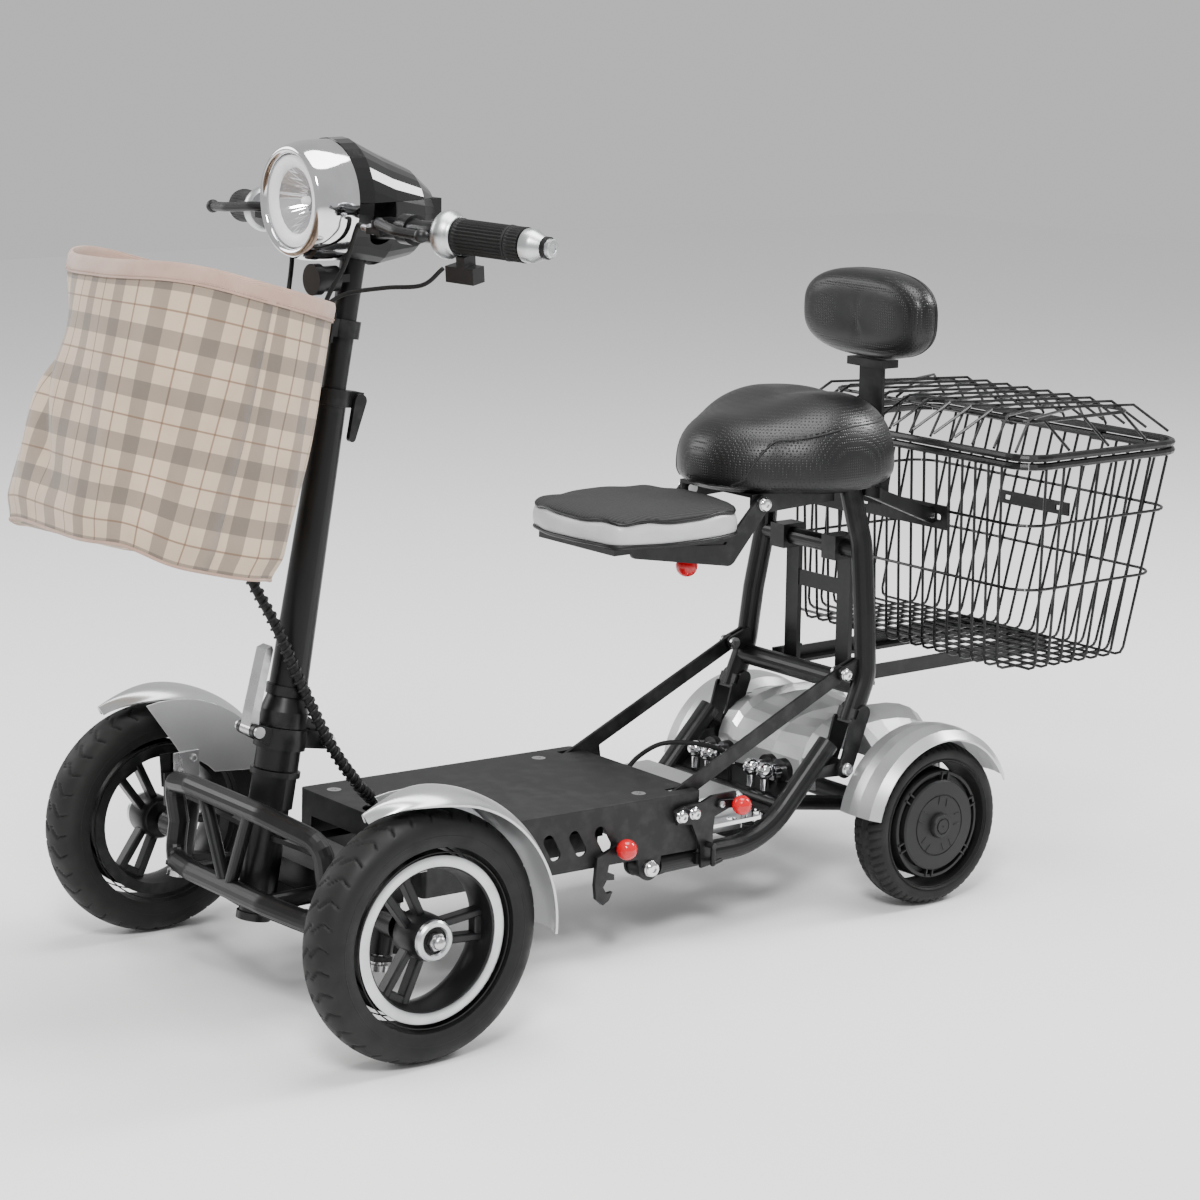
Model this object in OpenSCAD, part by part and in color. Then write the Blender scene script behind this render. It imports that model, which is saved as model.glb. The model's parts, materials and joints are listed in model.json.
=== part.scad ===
// Folding four-wheel mobility scooter with a saddle, a child seat, a front bag and a rear wire basket.
// Forward is -Y, the rider's left is +X, the floor is Z = 0. All sizes in millimetres.

/* [Wheels] */
// radius of the front tyres
front_tyre_r = 127.5; // [100:0.5:160]
// width of the front tyres
front_tyre_w = 56; // [40:1:70]
// distance between the front wheel centre planes
front_track = 520; // [420:1:600]
// radius of the rear tyres
rear_tyre_r = 95; // [80:0.5:110]
// width of the rear tyres
rear_tyre_w = 48; // [36:1:60]
// distance between the rear wheel centre planes
rear_track = 320; // [280:1:420]
// distance between the axles
wheelbase = 765; // [650:1:900]

/* [Steering] */
// backward lean of the steering column, degrees
column_lean = 10.5; // [5:0.5:20]
// outer radius of the column tube at its foot
column_r = 20; // [16:0.5:26]
// outer radius of the column tube at its clamp
column_top_r = 15.5; // [14:0.5:20]
// radius of the sliding inner tube
inner_r = 13; // [10:0.25:16]
// outer radius of the steering head
head_r = 23; // [20:0.5:30]
// distance of the kingpins from the centre
kingpin_x = 196; // [180:1:220]
// half width over the handlebar
bar_half = 281; // [240:1:320]
// radius of the handlebar tube
bar_r = 11; // [10:0.5:14]
// radius of the rubber grips
grip_r = 17; // [15:0.5:20]

/* [Deck] */
// half width of the deck
deck_half = 119; // [100:1:150]
// height of the deck's top face
deck_top = 168; // [140:1:200]
// depth of the deck box
deck_h = 66; // [40:1:90]
// front edge of the deck behind the front axle
deck_front = 100; // [80:1:140]
// rear edge of the deck behind the front axle
deck_rear = 466; // [420:1:520]
// upward slope of the deck toward the front, degrees
deck_rise = 1.2; // [0:0.1:3]
// thickness of the deck's sheet steel
sheet = 2; // [1.5:0.5:4]

/* [Rear frame] */
// radius of the rear frame and seat tubes
tube_r = 12.5; // [10:0.5:16]
// distance of the rear frame tubes from the centre
rear_tube_x = 105.5; // [95:0.5:112]
// length of the controller box
controller_l = 78; // [60:1:90]

/* [Seats and basket] */
// length of the saddle
saddle_l = 250; // [220:1:300]
// width of the saddle
saddle_w = 246; // [200:1:280]
// width of the backrest
backrest_w = 212; // [170:1:240]
// height of the backrest
backrest_h = 104; // [80:1:140]
// size of the child seat across and along
child_w = 196; // [160:1:220]
// half width of the basket at its rim
basket_half = 214; // [160:1:240]
// depth of the basket at its rim, front to back
basket_l = 256; // [200:1:320]
// height of the basket from floor wires to rim
basket_h = 241; // [180:1:300]
// radius of the basket's thin wires
wire_r = 1.8; // [1.5:0.1:3]

/* [Front bag] */
// half width of the bag
bag_half = 138; // [110:1:170]
// half depth of the bag
bag_deep = 112; // [90:1:140]
// height of the bag
bag_h = 272; // [220:1:320]

/* [Hidden] */
$fn = 48;
eps = 0.01;
y_mid = 432;
axle_z = front_tyre_r;
foot_y = -24 - axle_z * tan(column_lean);
black = [0.10, 0.10, 0.11];
rubber = [0.06, 0.06, 0.06];
silver = [0.75, 0.76, 0.78];
chrome = [0.85, 0.86, 0.88];
red = [0.80, 0.05, 0.08];
side_n = 18;
fold_pin = [0, 46, 277];
latch_pin = [0, -38, 282];
frame_pivot = [397, 91];
seat_pivot = [676, 161];
strut_top = [685, 267];
strut_foot = [410, 143];
child_pivot = [589, 467];
latch_pivot = [486, 152];
lock_pin = [470.5, 108];
hook_pivot = [325, 108];
bar_kink = [150, 88, 796];
bar_tip = [bar_half + 4, 129, 790];
bag_tilt = 15;

// ---------- helpers ----------
function unit(v) = v / norm(v);
// points that round the corner b of a path a-b-c with radius r
function corner(a, b, c, r, n) =
    let (u = unit(a - b), w = unit(c - b), half = acos(max(-1, min(1, u * w))) / 2)
    half > 89.5 ? [b] :
    let (reach = min(r / tan(half), norm(a - b) * 0.49, norm(c - b) * 0.49), rr = reach * tan(half),
         mid = b + unit(u + w) * rr / sin(half), p = b + u * reach - mid, q = b + w * reach - mid,
         span = 180 - 2 * half)
    [for (i = [0:n]) mid + (p * sin(span * (1 - i / n)) + q * sin(span * i / n)) / sin(span)];
// a path with every inner corner rounded
function rounded(p, r, n = 5) = concat([p[0]],
    [for (i = [1:1:len(p) - 2]) each corner(p[i - 1], p[i], p[i + 1], r, n)], [p[len(p) - 1]]);
function heading(p, i) = i == 0 ? unit(p[1] - p[0]) :
    i == len(p) - 1 ? unit(p[i] - p[i - 1]) : unit(unit(p[i] - p[i - 1]) + unit(p[i + 1] - p[i]));
function across(t) = unit(cross(t, abs(t[2]) < 0.9 ? [0, 0, 1] : [1, 0, 0]));
function carried(p, i, s) = i >= len(p) ? [] :
    let (t = heading(p, i), n = i == 0 ? across(t) : unit(s - t * (s * t)))
    concat([n], carried(p, i + 1, n));

// round rod swept along a path
module rod(p, r, n = side_n) {
    s = carried(p, 0, [1, 0, 0]);
    m = len(p);
    points = [for (i = [0:m - 1]) let (t = heading(p, i), b = cross(t, s[i]))
        for (k = [0:n - 1]) p[i] + r * (cos(k * 360 / n) * s[i] + sin(k * 360 / n) * b)];
    faces = concat([[for (k = [0:n - 1]) k]], [[for (k = [0:n - 1]) m * n - 1 - k]],
        [for (i = [0:m - 2], k = [0:n - 1])
            [i * n + k, (i + 1) * n + k, (i + 1) * n + (k + 1) % n, i * n + (k + 1) % n]]);
    polyhedron(points, faces, convexity = 6);
}

// closed skin through a list of rings with equal point counts
module loft(rings) {
    m = len(rings);
    n = len(rings[0]);
    points = [for (r = rings) each r];
    faces = concat([[for (k = [0:n - 1]) k]], [[for (k = [0:n - 1]) m * n - 1 - k]],
        [for (i = [0:m - 2], k = [0:n - 1])
            [i * n + k, (i + 1) * n + k, (i + 1) * n + (k + 1) % n, i * n + (k + 1) % n]]);
    polyhedron(points, faces, convexity = 8);
}
function power(v, e) = sign(v) * pow(abs(v), e);
// rounded-box ring at height z: half sizes a and b, squareness q
function ring(cx, cy, z, a, b, q = 1, n = 28) =
    [for (k = [0:n - 1]) let (t = k * 360 / n)
        [cx + a * power(cos(t), q), cy + b * power(sin(t), q), z]];

module place() translate([0, -y_mid, 0]) children();
module both() { children(); mirror([1, 0, 0]) children(); }
module far() mirror([1, 0, 0]) children();
// axis of the steering column, origin where it meets the floor
module on_column() translate([0, foot_y, 0]) rotate([-column_lean, 0, 0]) children();
// kingpin axis, origin at the height of the axle
module on_kingpin() translate([kingpin_x, 0, axle_z]) rotate([-column_lean, 0, 0]) children();
// cylinder along +X starting at p
module xcyl(p, r, l) translate(p) rotate([0, 90, 0]) cylinder(r = r, h = l);
// local Z runs from a to b
module along(a, b) {
    d = b - a;
    translate(a) rotate([0, acos(d[2] / norm(d)), atan2(d[1], d[0])]) children();
}
// plate drawn in the YZ plane, thickness t, starting at x
module yz_plate(x, t) translate([x, 0, 0]) rotate([90, 0, 90]) linear_extrude(t) children();
// flat link with round ends of radius ra at a and rb at b
module link(a, b, ra, rb) {
    u = unit(b - a);
    side = [-u[1], u[0]];
    translate(a) circle(ra);
    translate(b) circle(rb);
    polygon([a + side * ra, b + side * rb, b - side * rb, a - side * ra]);
}
module stadium(a, b, r) link(a, b, r, r);
module dome_bolt(p, r, h) translate(p) rotate([0, 90, 0]) { cylinder(r = r, h = h * 0.5);
    translate([0, 0, h * 0.5 - eps]) cylinder(r1 = r, r2 = r * 0.6, h = h * 0.5); }

// ---------- front wheels ----------
module tyre(r, w, bead) rotate([0, 90, 0]) rotate_extrude($fn = 72)
    polygon([[bead, -w * 0.24], [bead + 6.4, -w * 0.29], [bead + 8, -w * 0.40], [r - w * 0.42, -w * 0.5],
        [r - w * 0.22, -w * 0.47],
        [r - w * 0.07, -w * 0.33], [r, -w * 0.12], [r, w * 0.12], [r - w * 0.07, w * 0.33],
        [r - w * 0.22, w * 0.47], [r - w * 0.42, w * 0.5], [bead + 8, w * 0.40],
        [bead + 6.4, w * 0.29], [bead, w * 0.24]]);
module front_wheel_at() translate([front_track / 2, 0, axle_z]) children();
module front_rim() {
    difference() {
        union() {
            rotate([0, 90, 0]) rotate_extrude($fn = 72) polygon([[66, -19], [84, -21], [84, -16.9],
                [76, -14], [76, 14], [84, 16.9], [84, 21], [66, 19], [68, 10], [68, -10]]);
            for (a = [30, 150, 270]) rotate([a, 0, 0]) for (s = [-1, 1])
                translate([-4, s * 12 - 4, 15]) cube([12, 8, 54]);
            rotate([0, 90, 0]) translate([0, 0, -17]) cylinder(r = 23, h = 40);
        }
        xcyl([-30, 0, 0], 7.05, 80);
    }
    difference() {
        xcyl([23, 0, 0], 17, 4);
        xcyl([20, 0, 0], 12, 10);
    }
}
module front_hub_nut() { xcyl([23.5, 0, 0], 9, 6); xcyl([29, 0, 0], 6.5, 6); }
module front_tyre_left() color(rubber) front_wheel_at() tyre(front_tyre_r, front_tyre_w, 78);
module front_rim_left() color(black) front_wheel_at() { front_rim(); front_hub_nut(); }
module front_tyre_right() far() front_tyre_left();
module front_rim_right() far() front_rim_left();
module knuckle() {
    difference() {
        union() {
            on_kingpin() translate([0, 0, -34]) cylinder(r = 14, h = 68);
            xcyl([kingpin_x + 4, 0, axle_z], 15, 26);
            xcyl([kingpin_x + 4, 0, axle_z], 7, 83);
        }
        on_kingpin() translate([0, 0, -40]) cylinder(r = 7.05, h = 80);
    }
    // steering arm, pointing back
    on_kingpin() difference() {
        translate([0, 0, -34]) union() {
            translate([-8, 12, 0]) cube([16, 46, 8]);
            translate([0, 58, 0]) cylinder(r = 8, h = 8);
        }
        translate([0, 58, -40]) cylinder(r = 3.05, h = 20);
    }
    // fender stay from the top of the knuckle
    translate([kingpin_x + 8, -10, axle_z + 22]) cube([17.7, 16, 6]);
    translate([kingpin_x + 21.7, -10, axle_z + 22]) cube([4, 16, 36]);
}
module knuckle_left() color(black) knuckle();
module knuckle_right() far() knuckle_left();
fender_r = 148;
module fender_skin(r, a, b, q) {
    // curved shell over the tyre from angle a to angle b, q is its half width
    rotate([0, 90, 0]) rotate([0, 0, 180 - b]) rotate_extrude(angle = b - a, $fn = 96)
        polygon([[r - 12, -q], [r - 3, -q * 0.72], [r, -q * 0.2], [r, q * 0.2], [r - 3, q * 0.72],
            [r - 12, q], [r - 14, q - 1], [r - 5.4, q * 0.68], [r - 2.6, q * 0.2],
            [r - 2.6, -q * 0.2], [r - 5.4, -q * 0.68], [r - 14, -q + 1]]);
}
module front_fender() {
    front_wheel_at() difference() {
        fender_skin(fender_r, -24, 97, 38);
        // the shell narrows to a point at its front
        for (s = [-1, 1]) translate([0, 0, 90]) linear_extrude(90)
            polygon([[s * 1, -74], [s * 60, -74], [s * 60, -18], [s * 39, -18], [s * 30, -36]]);
    }
    // inner flange with its mounting plate
    front_wheel_at() yz_plate(-38, 2) difference() {
        intersection() {
            circle(r = fender_r - 9, $fn = 96);
            polygon([[0, 40], [20, 150], [160, 150], [170, -20], [84, 30]]);
        }
        circle(r = 72, $fn = 72);
    }
    translate([kingpin_x + 25.7, -12, axle_z + 42]) cube([3, 20, 34]);
}
module front_fender_left() color(silver) { front_fender(); fender_plate(); }
module front_fender_right() far() front_fender_left();
module fender_plate() front_wheel_at() {
    yz_plate(-40.3, 2) translate([66, 62]) rotate(45) square(22, center = true);
    dome_bolt([-44, 66, 62], 5, 4);
}

// ---------- front frame ----------
module kingpin() on_kingpin() {
    translate([0, 0, -46]) cylinder(r = 7, h = 92);
    translate([0, 0, 46 - eps]) cylinder(r = 11, h = 6);
    translate([0, 0, -52]) cylinder(r = 11, h = 6);
}
module kingpins() color(chrome) both() kingpin();
module wing(z0) on_kingpin() difference() {
    translate([0, 0, z0]) linear_extrude(5) polygon([[9, -11], [12, 0], [9, 11], [-60, 26], [-170, 34],
        [-185, 34], [-185, -30], [-170, -30], [-60, -16]]);
    translate([0, 0, z0 - 1]) cylinder(r = 7.05, h = 7);
}
module front_frame_body() color(black) {
    difference() {
        union() {
            on_column() translate([0, 0, 110]) cylinder(r = 20, h = 100);
            on_column() translate([0, 0, 203]) cylinder(r = head_r, h = 33);
            on_column() translate([0, 0, 236]) cylinder(r = 26, h = 6);
            both() wing(37);
            both() wing(-42);
            // backbone into the deck
            translate([-26, -10, 104]) cube([52, 150, 5]);
            for (s = [-1, 1]) translate([s * 70 - 12.5, 12, 112]) cube([25, 340, 22]);
            translate([-82, 12, 108]) cube([164, 25, 30]);
            // bearers under the deck plate
            for (y = [146, 330]) let (h = deck_top - sheet + (deck_rear - y - 20) * tan(deck_rise) - 0.05)
                translate([-94, y, 130]) cube([188, 20, h - 130]);
        }
        on_column() translate([0, 0, 90]) cylinder(r = 16.05, h = 170);
        // clearance for the knuckle bosses
        both() on_kingpin() translate([0, 0, -36]) cylinder(r = 18, h = 72);
    }
}
bumper_top = [[146, -34, 152], [147, -40, 198], [70, -62, 214], [-70, -62, 214], [-147, -40, 198],
    [-146, -34, 152]];
bumper_low = [[146, -34, 156], [147, -40, 112], [70, -62, 121], [-70, -62, 121], [-147, -40, 112],
    [-146, -34, 156]];
module bumper() color(black) {
    rod(rounded(bumper_top, 22, 5), 11, 16);
    rod(rounded(bumper_low, 22, 5), 11, 16);
    both() rod([[45, -62, 211], [5, -62, 124]], 7, 16);
    both() rod([[70, -60, 121], [70, 11.9, 121]], 9, 16);
    both() rod([[60, -62, 213], [52, -22, 186]], 9, 16);
}

// ---------- steering post ----------
module steering_post() color(black) on_column() {
    difference() {
        union() {
            translate([0, 0, 92]) cylinder(r = 16, h = 152);
            translate([0, 0, 243]) cylinder(r = head_r, h = 24);
            translate([0, 0, 265]) cylinder(r = 27, h = 22);
            // rear hinge lugs
            for (s = [-1, 1]) translate([s * 14 - 4, 0, 0]) rotate([90, 0, 90]) linear_extrude(8)
                hull() { translate([fold_pin[1], fold_pin[2]]) circle(9, $fn = 32);
                    translate([18, 268]) square([2, 18]); }
            // front latch lugs
            for (s = [-1, 1]) translate([s * 13 - 3, 0, 0]) rotate([90, 0, 90]) linear_extrude(6)
                hull() { translate([latch_pin[1], latch_pin[2]]) circle(7, $fn = 32);
                    translate([-20, 268]) square([2, 18]); }
        }
        xcyl([-40, fold_pin[1], fold_pin[2]], 4.05, 80);
        xcyl([-40, latch_pin[1], latch_pin[2]], 3.05, 80);
        translate([-9.5, 27.2, 262]) cube([19, 40, 30]);
        translate([-9.5, -60, 262]) cube([19, 32.8, 30]);
    }
    // drop arm at the foot
    difference() {
        union() {
            translate([0, 0, 84]) cylinder(r = 18, h = 8 + eps);
            translate([-9, 10, 84]) cube([18, 48, 8]);
            translate([0, 58, 84]) cylinder(r = 9, h = 8);
        }
        translate([0, 58, 80]) cylinder(r = 3.05, h = 20);
    }
}
module hinge_pins() color(chrome) on_column() {
    xcyl([-19, fold_pin[1], fold_pin[2]], 4, 38);
    for (s = [-1, 1]) xcyl([s * 20.5 - 2.5, fold_pin[1], fold_pin[2]], 7, 5);
    xcyl([-17, latch_pin[1], latch_pin[2]], 3, 34);
    for (s = [-1, 1]) xcyl([s * 18 - 2, latch_pin[1], latch_pin[2]], 6, 4);
}
module fold_lever() color(silver) on_column() difference() {
    union() {
        xcyl([-9, latch_pin[1], latch_pin[2]], 7, 18);
        translate([-9, 0, 0]) rotate([90, 0, 90]) linear_extrude(18)
            polygon([[latch_pin[1] - 6, latch_pin[2]], [latch_pin[1] - 6, 300], [-39, 366],
                [-32, 370], [-30, 366], [latch_pin[1] + 3, 300], [latch_pin[1] + 5, latch_pin[2]]]);
    }
    xcyl([-20, latch_pin[1], latch_pin[2]], 3.05, 40);
}
module tie_rods() color(chrome) {
    a = 58;
    both() {
        on_column() translate([0, a, 78]) cylinder(r = 3, h = 5.6);
        hull() {
            on_column() translate([6, a, 76.6]) cylinder(r = 4, h = 4, $fn = 24);
            on_kingpin() translate([-6, a, -38.4]) cylinder(r = 4, h = 4, $fn = 24);
        }
        on_kingpin() translate([0, a, -40]) cylinder(r = 7, h = 5.6);
        on_kingpin() translate([0, a, -40]) cylinder(r = 3, h = 14);
    }
    on_column() translate([0, a, 76]) cylinder(r = 8, h = 7.6);
    on_column() translate([0, a, 80]) cylinder(r = 3, h = 12);
}

// ---------- column ----------
module column_body() on_column() difference() {
    union() {
        translate([0, 0, 288]) cylinder(r = 25, h = 16);
        translate([0, 0, 304 - eps]) cylinder(r1 = 25, r2 = column_r, h = 16);
        translate([0, 0, 320 - eps]) cylinder(r = 22.5, h = 10);
        translate([0, 0, 330 - eps]) cylinder(r1 = column_r, r2 = column_top_r, h = 290);
        // hinge lug between the post's two lugs
        translate([-9, 0, 0]) rotate([90, 0, 90]) linear_extrude(18)
            hull() { translate([fold_pin[1], fold_pin[2]]) circle(9, $fn = 32);
                translate([16, 290]) square([2, 12]);
                translate([36, 290]) square([2, 4]); }
    }
    translate([0, 0, 430]) cylinder(r = inner_r + 0.05, h = 200);
    xcyl([-40, fold_pin[1], fold_pin[2]], 4.05, 80);
    // room for the post's ring below the parting plane
    translate([-20, -40, 240]) cube([40, 68, 47.6]);
}
module column_collar() on_column() difference() {
    union() {
        translate([0, 0, 620.3]) cylinder(r = 19, h = 17);
        translate([-9, 14, 620.3]) cube([18, 18, 17]);
    }
    translate([0, 0, 600]) cylinder(r = inner_r + 0.05, h = 50);
    translate([-1.5, 12, 600]) cube([3, 40, 50]);
    xcyl([-20, 25.5, 628.8], 3.05, 40);
}
module clamp_lever() color(black) on_column() {
    xcyl([-12, 25.5, 628.8], 3, 26);
    xcyl([-14, 25.5, 628.8], 6, 4.7);
    translate([9.5, 0, 0]) rotate([90, 0, 90]) linear_extrude(6) hull() {
        translate([25.5, 628.8]) circle(7, $fn = 32); translate([22, 590]) circle(4, $fn = 32); }
}

// ---------- handlebar post ----------
module inner_tube() color(black) on_column() difference() {
    translate([0, 0, 470]) cylinder(r = inner_r, h = 322);
    translate([0, 0, 460]) cylinder(r = inner_r - 2, h = 300);
}
function bar_half_path() = [[0, 95, 787], [70, 92, 794], bar_kink, bar_tip];
module handlebar() color(black) {
    rod(rounded([[-bar_tip[0], bar_tip[1], bar_tip[2]], [-bar_kink[0], bar_kink[1], bar_kink[2]],
        [-70, 92, 794], [0, 95, 787], [70, 92, 794], bar_kink, bar_tip], 30, 4), bar_r, 20);
    // clamp block over the top of the tube
    on_column() difference() {
        translate([-20, -17, 776]) cube([40, 34, 36]);
        translate([0, 0, 770]) cylinder(r = inner_r + 0.2, h = 22.5);
    }
}
module on_bar() along(bar_kink, bar_tip) children();
module grip_sleeve(a, b, r) difference() {
    translate([0, 0, a]) cylinder(r = r, h = b - a);
    translate([0, 0, a - 1]) cylinder(r = bar_r + 0.1, h = b - a + 2);
}
module throttle_grip() color(rubber) on_bar() grip_sleeve(33, 97, grip_r);
module grip_ends() color(rubber) {
    on_bar() grip_sleeve(97.6, 114, grip_r);
    far() on_bar() grip_sleeve(33, 114, grip_r);
}
module bar_caps() color(silver) both() on_bar() {
    translate([0, 0, 114.3]) difference() {
        cylinder(r = grip_r - 1, h = 12.5);
        translate([0, 0, -1]) cylinder(r = bar_r + 0.1, h = 26);
    }
    translate([0, 0, 141.3]) cylinder(r = 8, h = 5);
    translate([0, 0, 126.6]) difference() {
        cylinder(r1 = grip_r - 1.5, r2 = 9, h = 14.7);
        translate([0, 0, -1]) cylinder(r = bar_r + 0.1, h = 17);
    }
}
module throttle_housing() color(silver) both() on_bar() difference() {
    union() {
        translate([0, 0, 10]) cylinder(r1 = 20, r2 = 24, h = 10);
        translate([0, 0, 20 - eps]) cylinder(r1 = 24, r2 = 20, h = 12);
    }
    translate([0, 0, 0]) cylinder(r = bar_r + 0.1, h = 40);
}
module lever_perches() color(black) both() {
    translate([104, 92, 795]) difference() {
        union() {
            rotate([0, 90, 0]) translate([0, 0, -9]) cylinder(r = 15, h = 18);
            translate([-12, -44, -3]) cube([24, 34, 6]);
        }
        rotate([0, 90, 0]) rotate([0, 0, 0]) translate([0, 0, -12]) cylinder(r = bar_r + 0.6, h = 24);
        translate([-2, -35, -10]) cylinder(r = 3.05, h = 20);
    }
}
lever_pin = [102, 57, 795];
module brake_lever() {
    difference() {
        rod(rounded([[102, 57, 803.5], [118, 46, 803.4], [158, 38, 800], [194, 44, 798]], 24, 4), 5, 12);
        translate([lever_pin[0], lever_pin[1], 780]) cylinder(r = 2.4, h = 40);
    }
    translate([194, 44, 798]) sphere(r = 7, $fn = 24);
    translate([lever_pin[0], lever_pin[1], 789]) cylinder(r = 3, h = 16);
    translate([lever_pin[0], lever_pin[1], 798.4]) cylinder(r = 8, h = 6.6);
}
module brake_lever_left() color(black) brake_lever();
module brake_lever_right() far() brake_lever_left();
module cable_adjusters() color(chrome) both() along([91.3, 58, 795], [70, 56, 797]) {
    translate([0, 0, 0]) cylinder(r = 5, h = 8);
    translate([0, 0, 8 - eps]) cylinder(r = 3.5, h = 10);
}
module switch_pod() color(black) on_bar() {
    translate([0, 0, 0]) rotate([0, 0, 8]) difference() {
        union() {
            translate([18.5, -9, 34]) cube([13, 18, 10]);
            translate([29, -9, 20]) cube([16, 18, 34]);
        }
        translate([36, 12, 36]) rotate([90, 0, 0]) cylinder(r = 5.4, h = 10);
    }
}
module horn_button() color(red) on_bar() rotate([0, 0, 8])
    translate([36, 11, 36]) rotate([90, 0, 0]) cylinder(r = 5.2, h = 7);
module horn() {
    translate([12, 44, 740]) rotate([90, 0, 0]) cylinder(r = 16, h = 9);
    translate([12, 64, 740]) rotate([90, 0, 0]) cylinder(r = 13, h = 21);
    translate([7, 62, 736]) cube([10, 15.8, 8]);
}
// headlamp pod: rings along Y, given as [y, centre height, half width, half height]
pod_front = [[62, 819, 60, 61], [80, 818, 60.5, 62.5], [110, 808, 56, 58], [150, 803, 46, 46],
    [172, 803, 31, 29], [181, 804, 14, 13]];
function pod_ring(v, n = 32) = [for (k = [0:n - 1]) let (t = -k * 360 / n)
    [v[2] * cos(t), v[0], v[1] + v[3] * sin(t)]];
module pod_solid() loft([for (v = pod_front) pod_ring(v)]);
module headlamp_pod() color(black) difference() {
    intersection() { pod_solid(); translate([-90, 40, 818.3]) cube([180, 200, 100]); }
    loft([for (v = [[70, 818, 56, 57], [110, 808, 52, 54], [148, 803, 42, 42], [168, 803, 27, 25]])
        pod_ring(v)]);
}
module base_shell() difference() {
    intersection() { pod_solid(); translate([-90, 40, 700]) cube([180, 200, 118]); }
    on_column() translate([-22, -19, 700]) cube([44, 38, 114]);
    translate([-90, 93.5, 789.5]) rotate([0, 90, 0]) cylinder(r = 14.5, h = 180);
    translate([-90, 79, 789.5]) cube([180, 29, 60]);
}
module display() translate([-32, 137, 796]) difference() {
    cube([64, 42, 22]);
    translate([5, 5, 3]) cube([54, 32, 30]);
}
module headlamp_bezel() color(chrome) rotate([-90, 0, 0]) translate([0, -818, 18])
    rotate_extrude($fn = 72) polygon([[47, 0], [53, -2], [57, 3], [60, 20], [60.8, 43.7], [56, 43.7],
        [55, 20], [51, 8], [47, 6]]);
module bowl() rotate([-90, 0, 0]) translate([0, -818, 18])
    rotate_extrude($fn = 72) polygon([[10, 40], [46.6, 8.4], [49, 8.4], [49, 12], [12, 43], [0, 43],
        [0, 40]]);
module headlamp_ring() rotate([-90, 0, 0]) translate([0, -818, 18])
    rotate_extrude($fn = 72) polygon([[33, 12.6], [46.6, 2.6], [46.6, 7.9], [34, 18.5]]);
module headlamp_lens() color([0.8, 0.85, 0.9]) rotate([-90, 0, 0]) translate([0, -818, 18])
    rotate_extrude($fn = 72) polygon([[0, -1], [30, -0.4], [46.6, 0.2], [46.6, 2.2], [30, 1.6], [0, 1]]);

// ---------- front bag ----------
module bag_frame() translate([0, -83, 748]) rotate([-bag_tilt, 0, 0]) children();
bag_wall = 3;
module front_bag() color([0.78, 0.68, 0.56]) bag_frame() difference() {
    loft([ring(0, 0, -bag_h, bag_half - 18, bag_deep - 16, 0.5),
        ring(0, 0, -bag_h + 10, bag_half - 8, bag_deep - 6, 0.55),
        ring(0, 0, -bag_h / 2, bag_half - 4, bag_deep - 2, 0.65),
        ring(0, 0, 0, bag_half, bag_deep, 0.75)]);
    loft([ring(0, 0, -bag_h + bag_wall, bag_half - 24, bag_deep - 22, 0.5),
        ring(0, 0, -bag_h + 12, bag_half - 8 - bag_wall, bag_deep - 6 - bag_wall, 0.55),
        ring(0, 0, -bag_h / 2, bag_half - 4 - bag_wall, bag_deep - 2 - bag_wall, 0.65),
        ring(0, 0, 1, bag_half - bag_wall, bag_deep - bag_wall, 0.75)]);
}
module bag_hook() color(black) {
    on_column() difference() {
        union() {
            translate([0, 0, 690]) cylinder(r = 18, h = 18);
            translate([-14, -34, 690]) cube([28, 20, 18]);
            translate([-36, -36, 684]) cube([72, 3, 30]);
        }
        translate([0, 0, 680]) cylinder(r = inner_r + 0.1, h = 40);
    }
    bag_frame() translate([-30, bag_deep + 0.5, -46]) cube([60, 3, 36]);
    hull() {
        on_column() translate([-20, -35, 700]) cube([40, 2, 8]);
        bag_frame() translate([-20, bag_deep + 1, -22]) cube([40, 2, 8]);
    }
}

// ---------- deck ----------
// the deck rises slightly toward the front
module on_deck() translate([0, deck_rear, deck_top]) rotate([-deck_rise, 0, 0])
    translate([0, -deck_rear, -deck_top]) children();
module rounded_plan(x, y0, y1, r) hull() for (sx = [-1, 1], y = [y0 + r, y1 - r])
    translate([sx * (x - r), y]) circle(r, $fn = 32);
module deck_tray() color(black) difference() {
    deck_sheet();
    xcyl([deck_half - 10, hook_pivot[0], hook_pivot[1]], 3.05, 20);
}
module deck_sheet() on_deck() difference() {
    translate([0, 0, deck_top - deck_h]) linear_extrude(deck_h)
        rounded_plan(deck_half, deck_front, deck_rear, 5);
    translate([0, 0, deck_top - deck_h - 1]) linear_extrude(deck_h - sheet + 1)
        rounded_plan(deck_half - sheet, deck_front + sheet, deck_rear - sheet, 4);
    // open tail for the struts and rear frame
    translate([-deck_half + 5, deck_rear - 10, deck_top - deck_h - 1])
        cube([2 * deck_half - 10, 20, deck_h - 8]);
    both() translate([94, deck_rear - 32, deck_top - 20]) cube([10, 40, 30]);
    // open nose for the backbone rails
    translate([-96, deck_front - 10, deck_top - deck_h - 1]) cube([192, 20, 40]);
    // harness hole
    translate([0, deck_front + 26, deck_top - 10]) cylinder(r = 20, h = 20);
    // countersinks
    at_deck_screws() translate([0, 0, -sheet - 1]) cylinder(r1 = 7.2 - sheet, r2 = 9.2, h = sheet + 2);
    // slanted slots in both side skirts
    for (i = [0:4]) translate([0, deck_front + 96 + i * 34, deck_top - 36]) rotate([-60, 0, 0])
        yz_plate(-deck_half - 2, 2 * deck_half + 4) stadium([-9, 0], [9, 0], 7);
}
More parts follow.
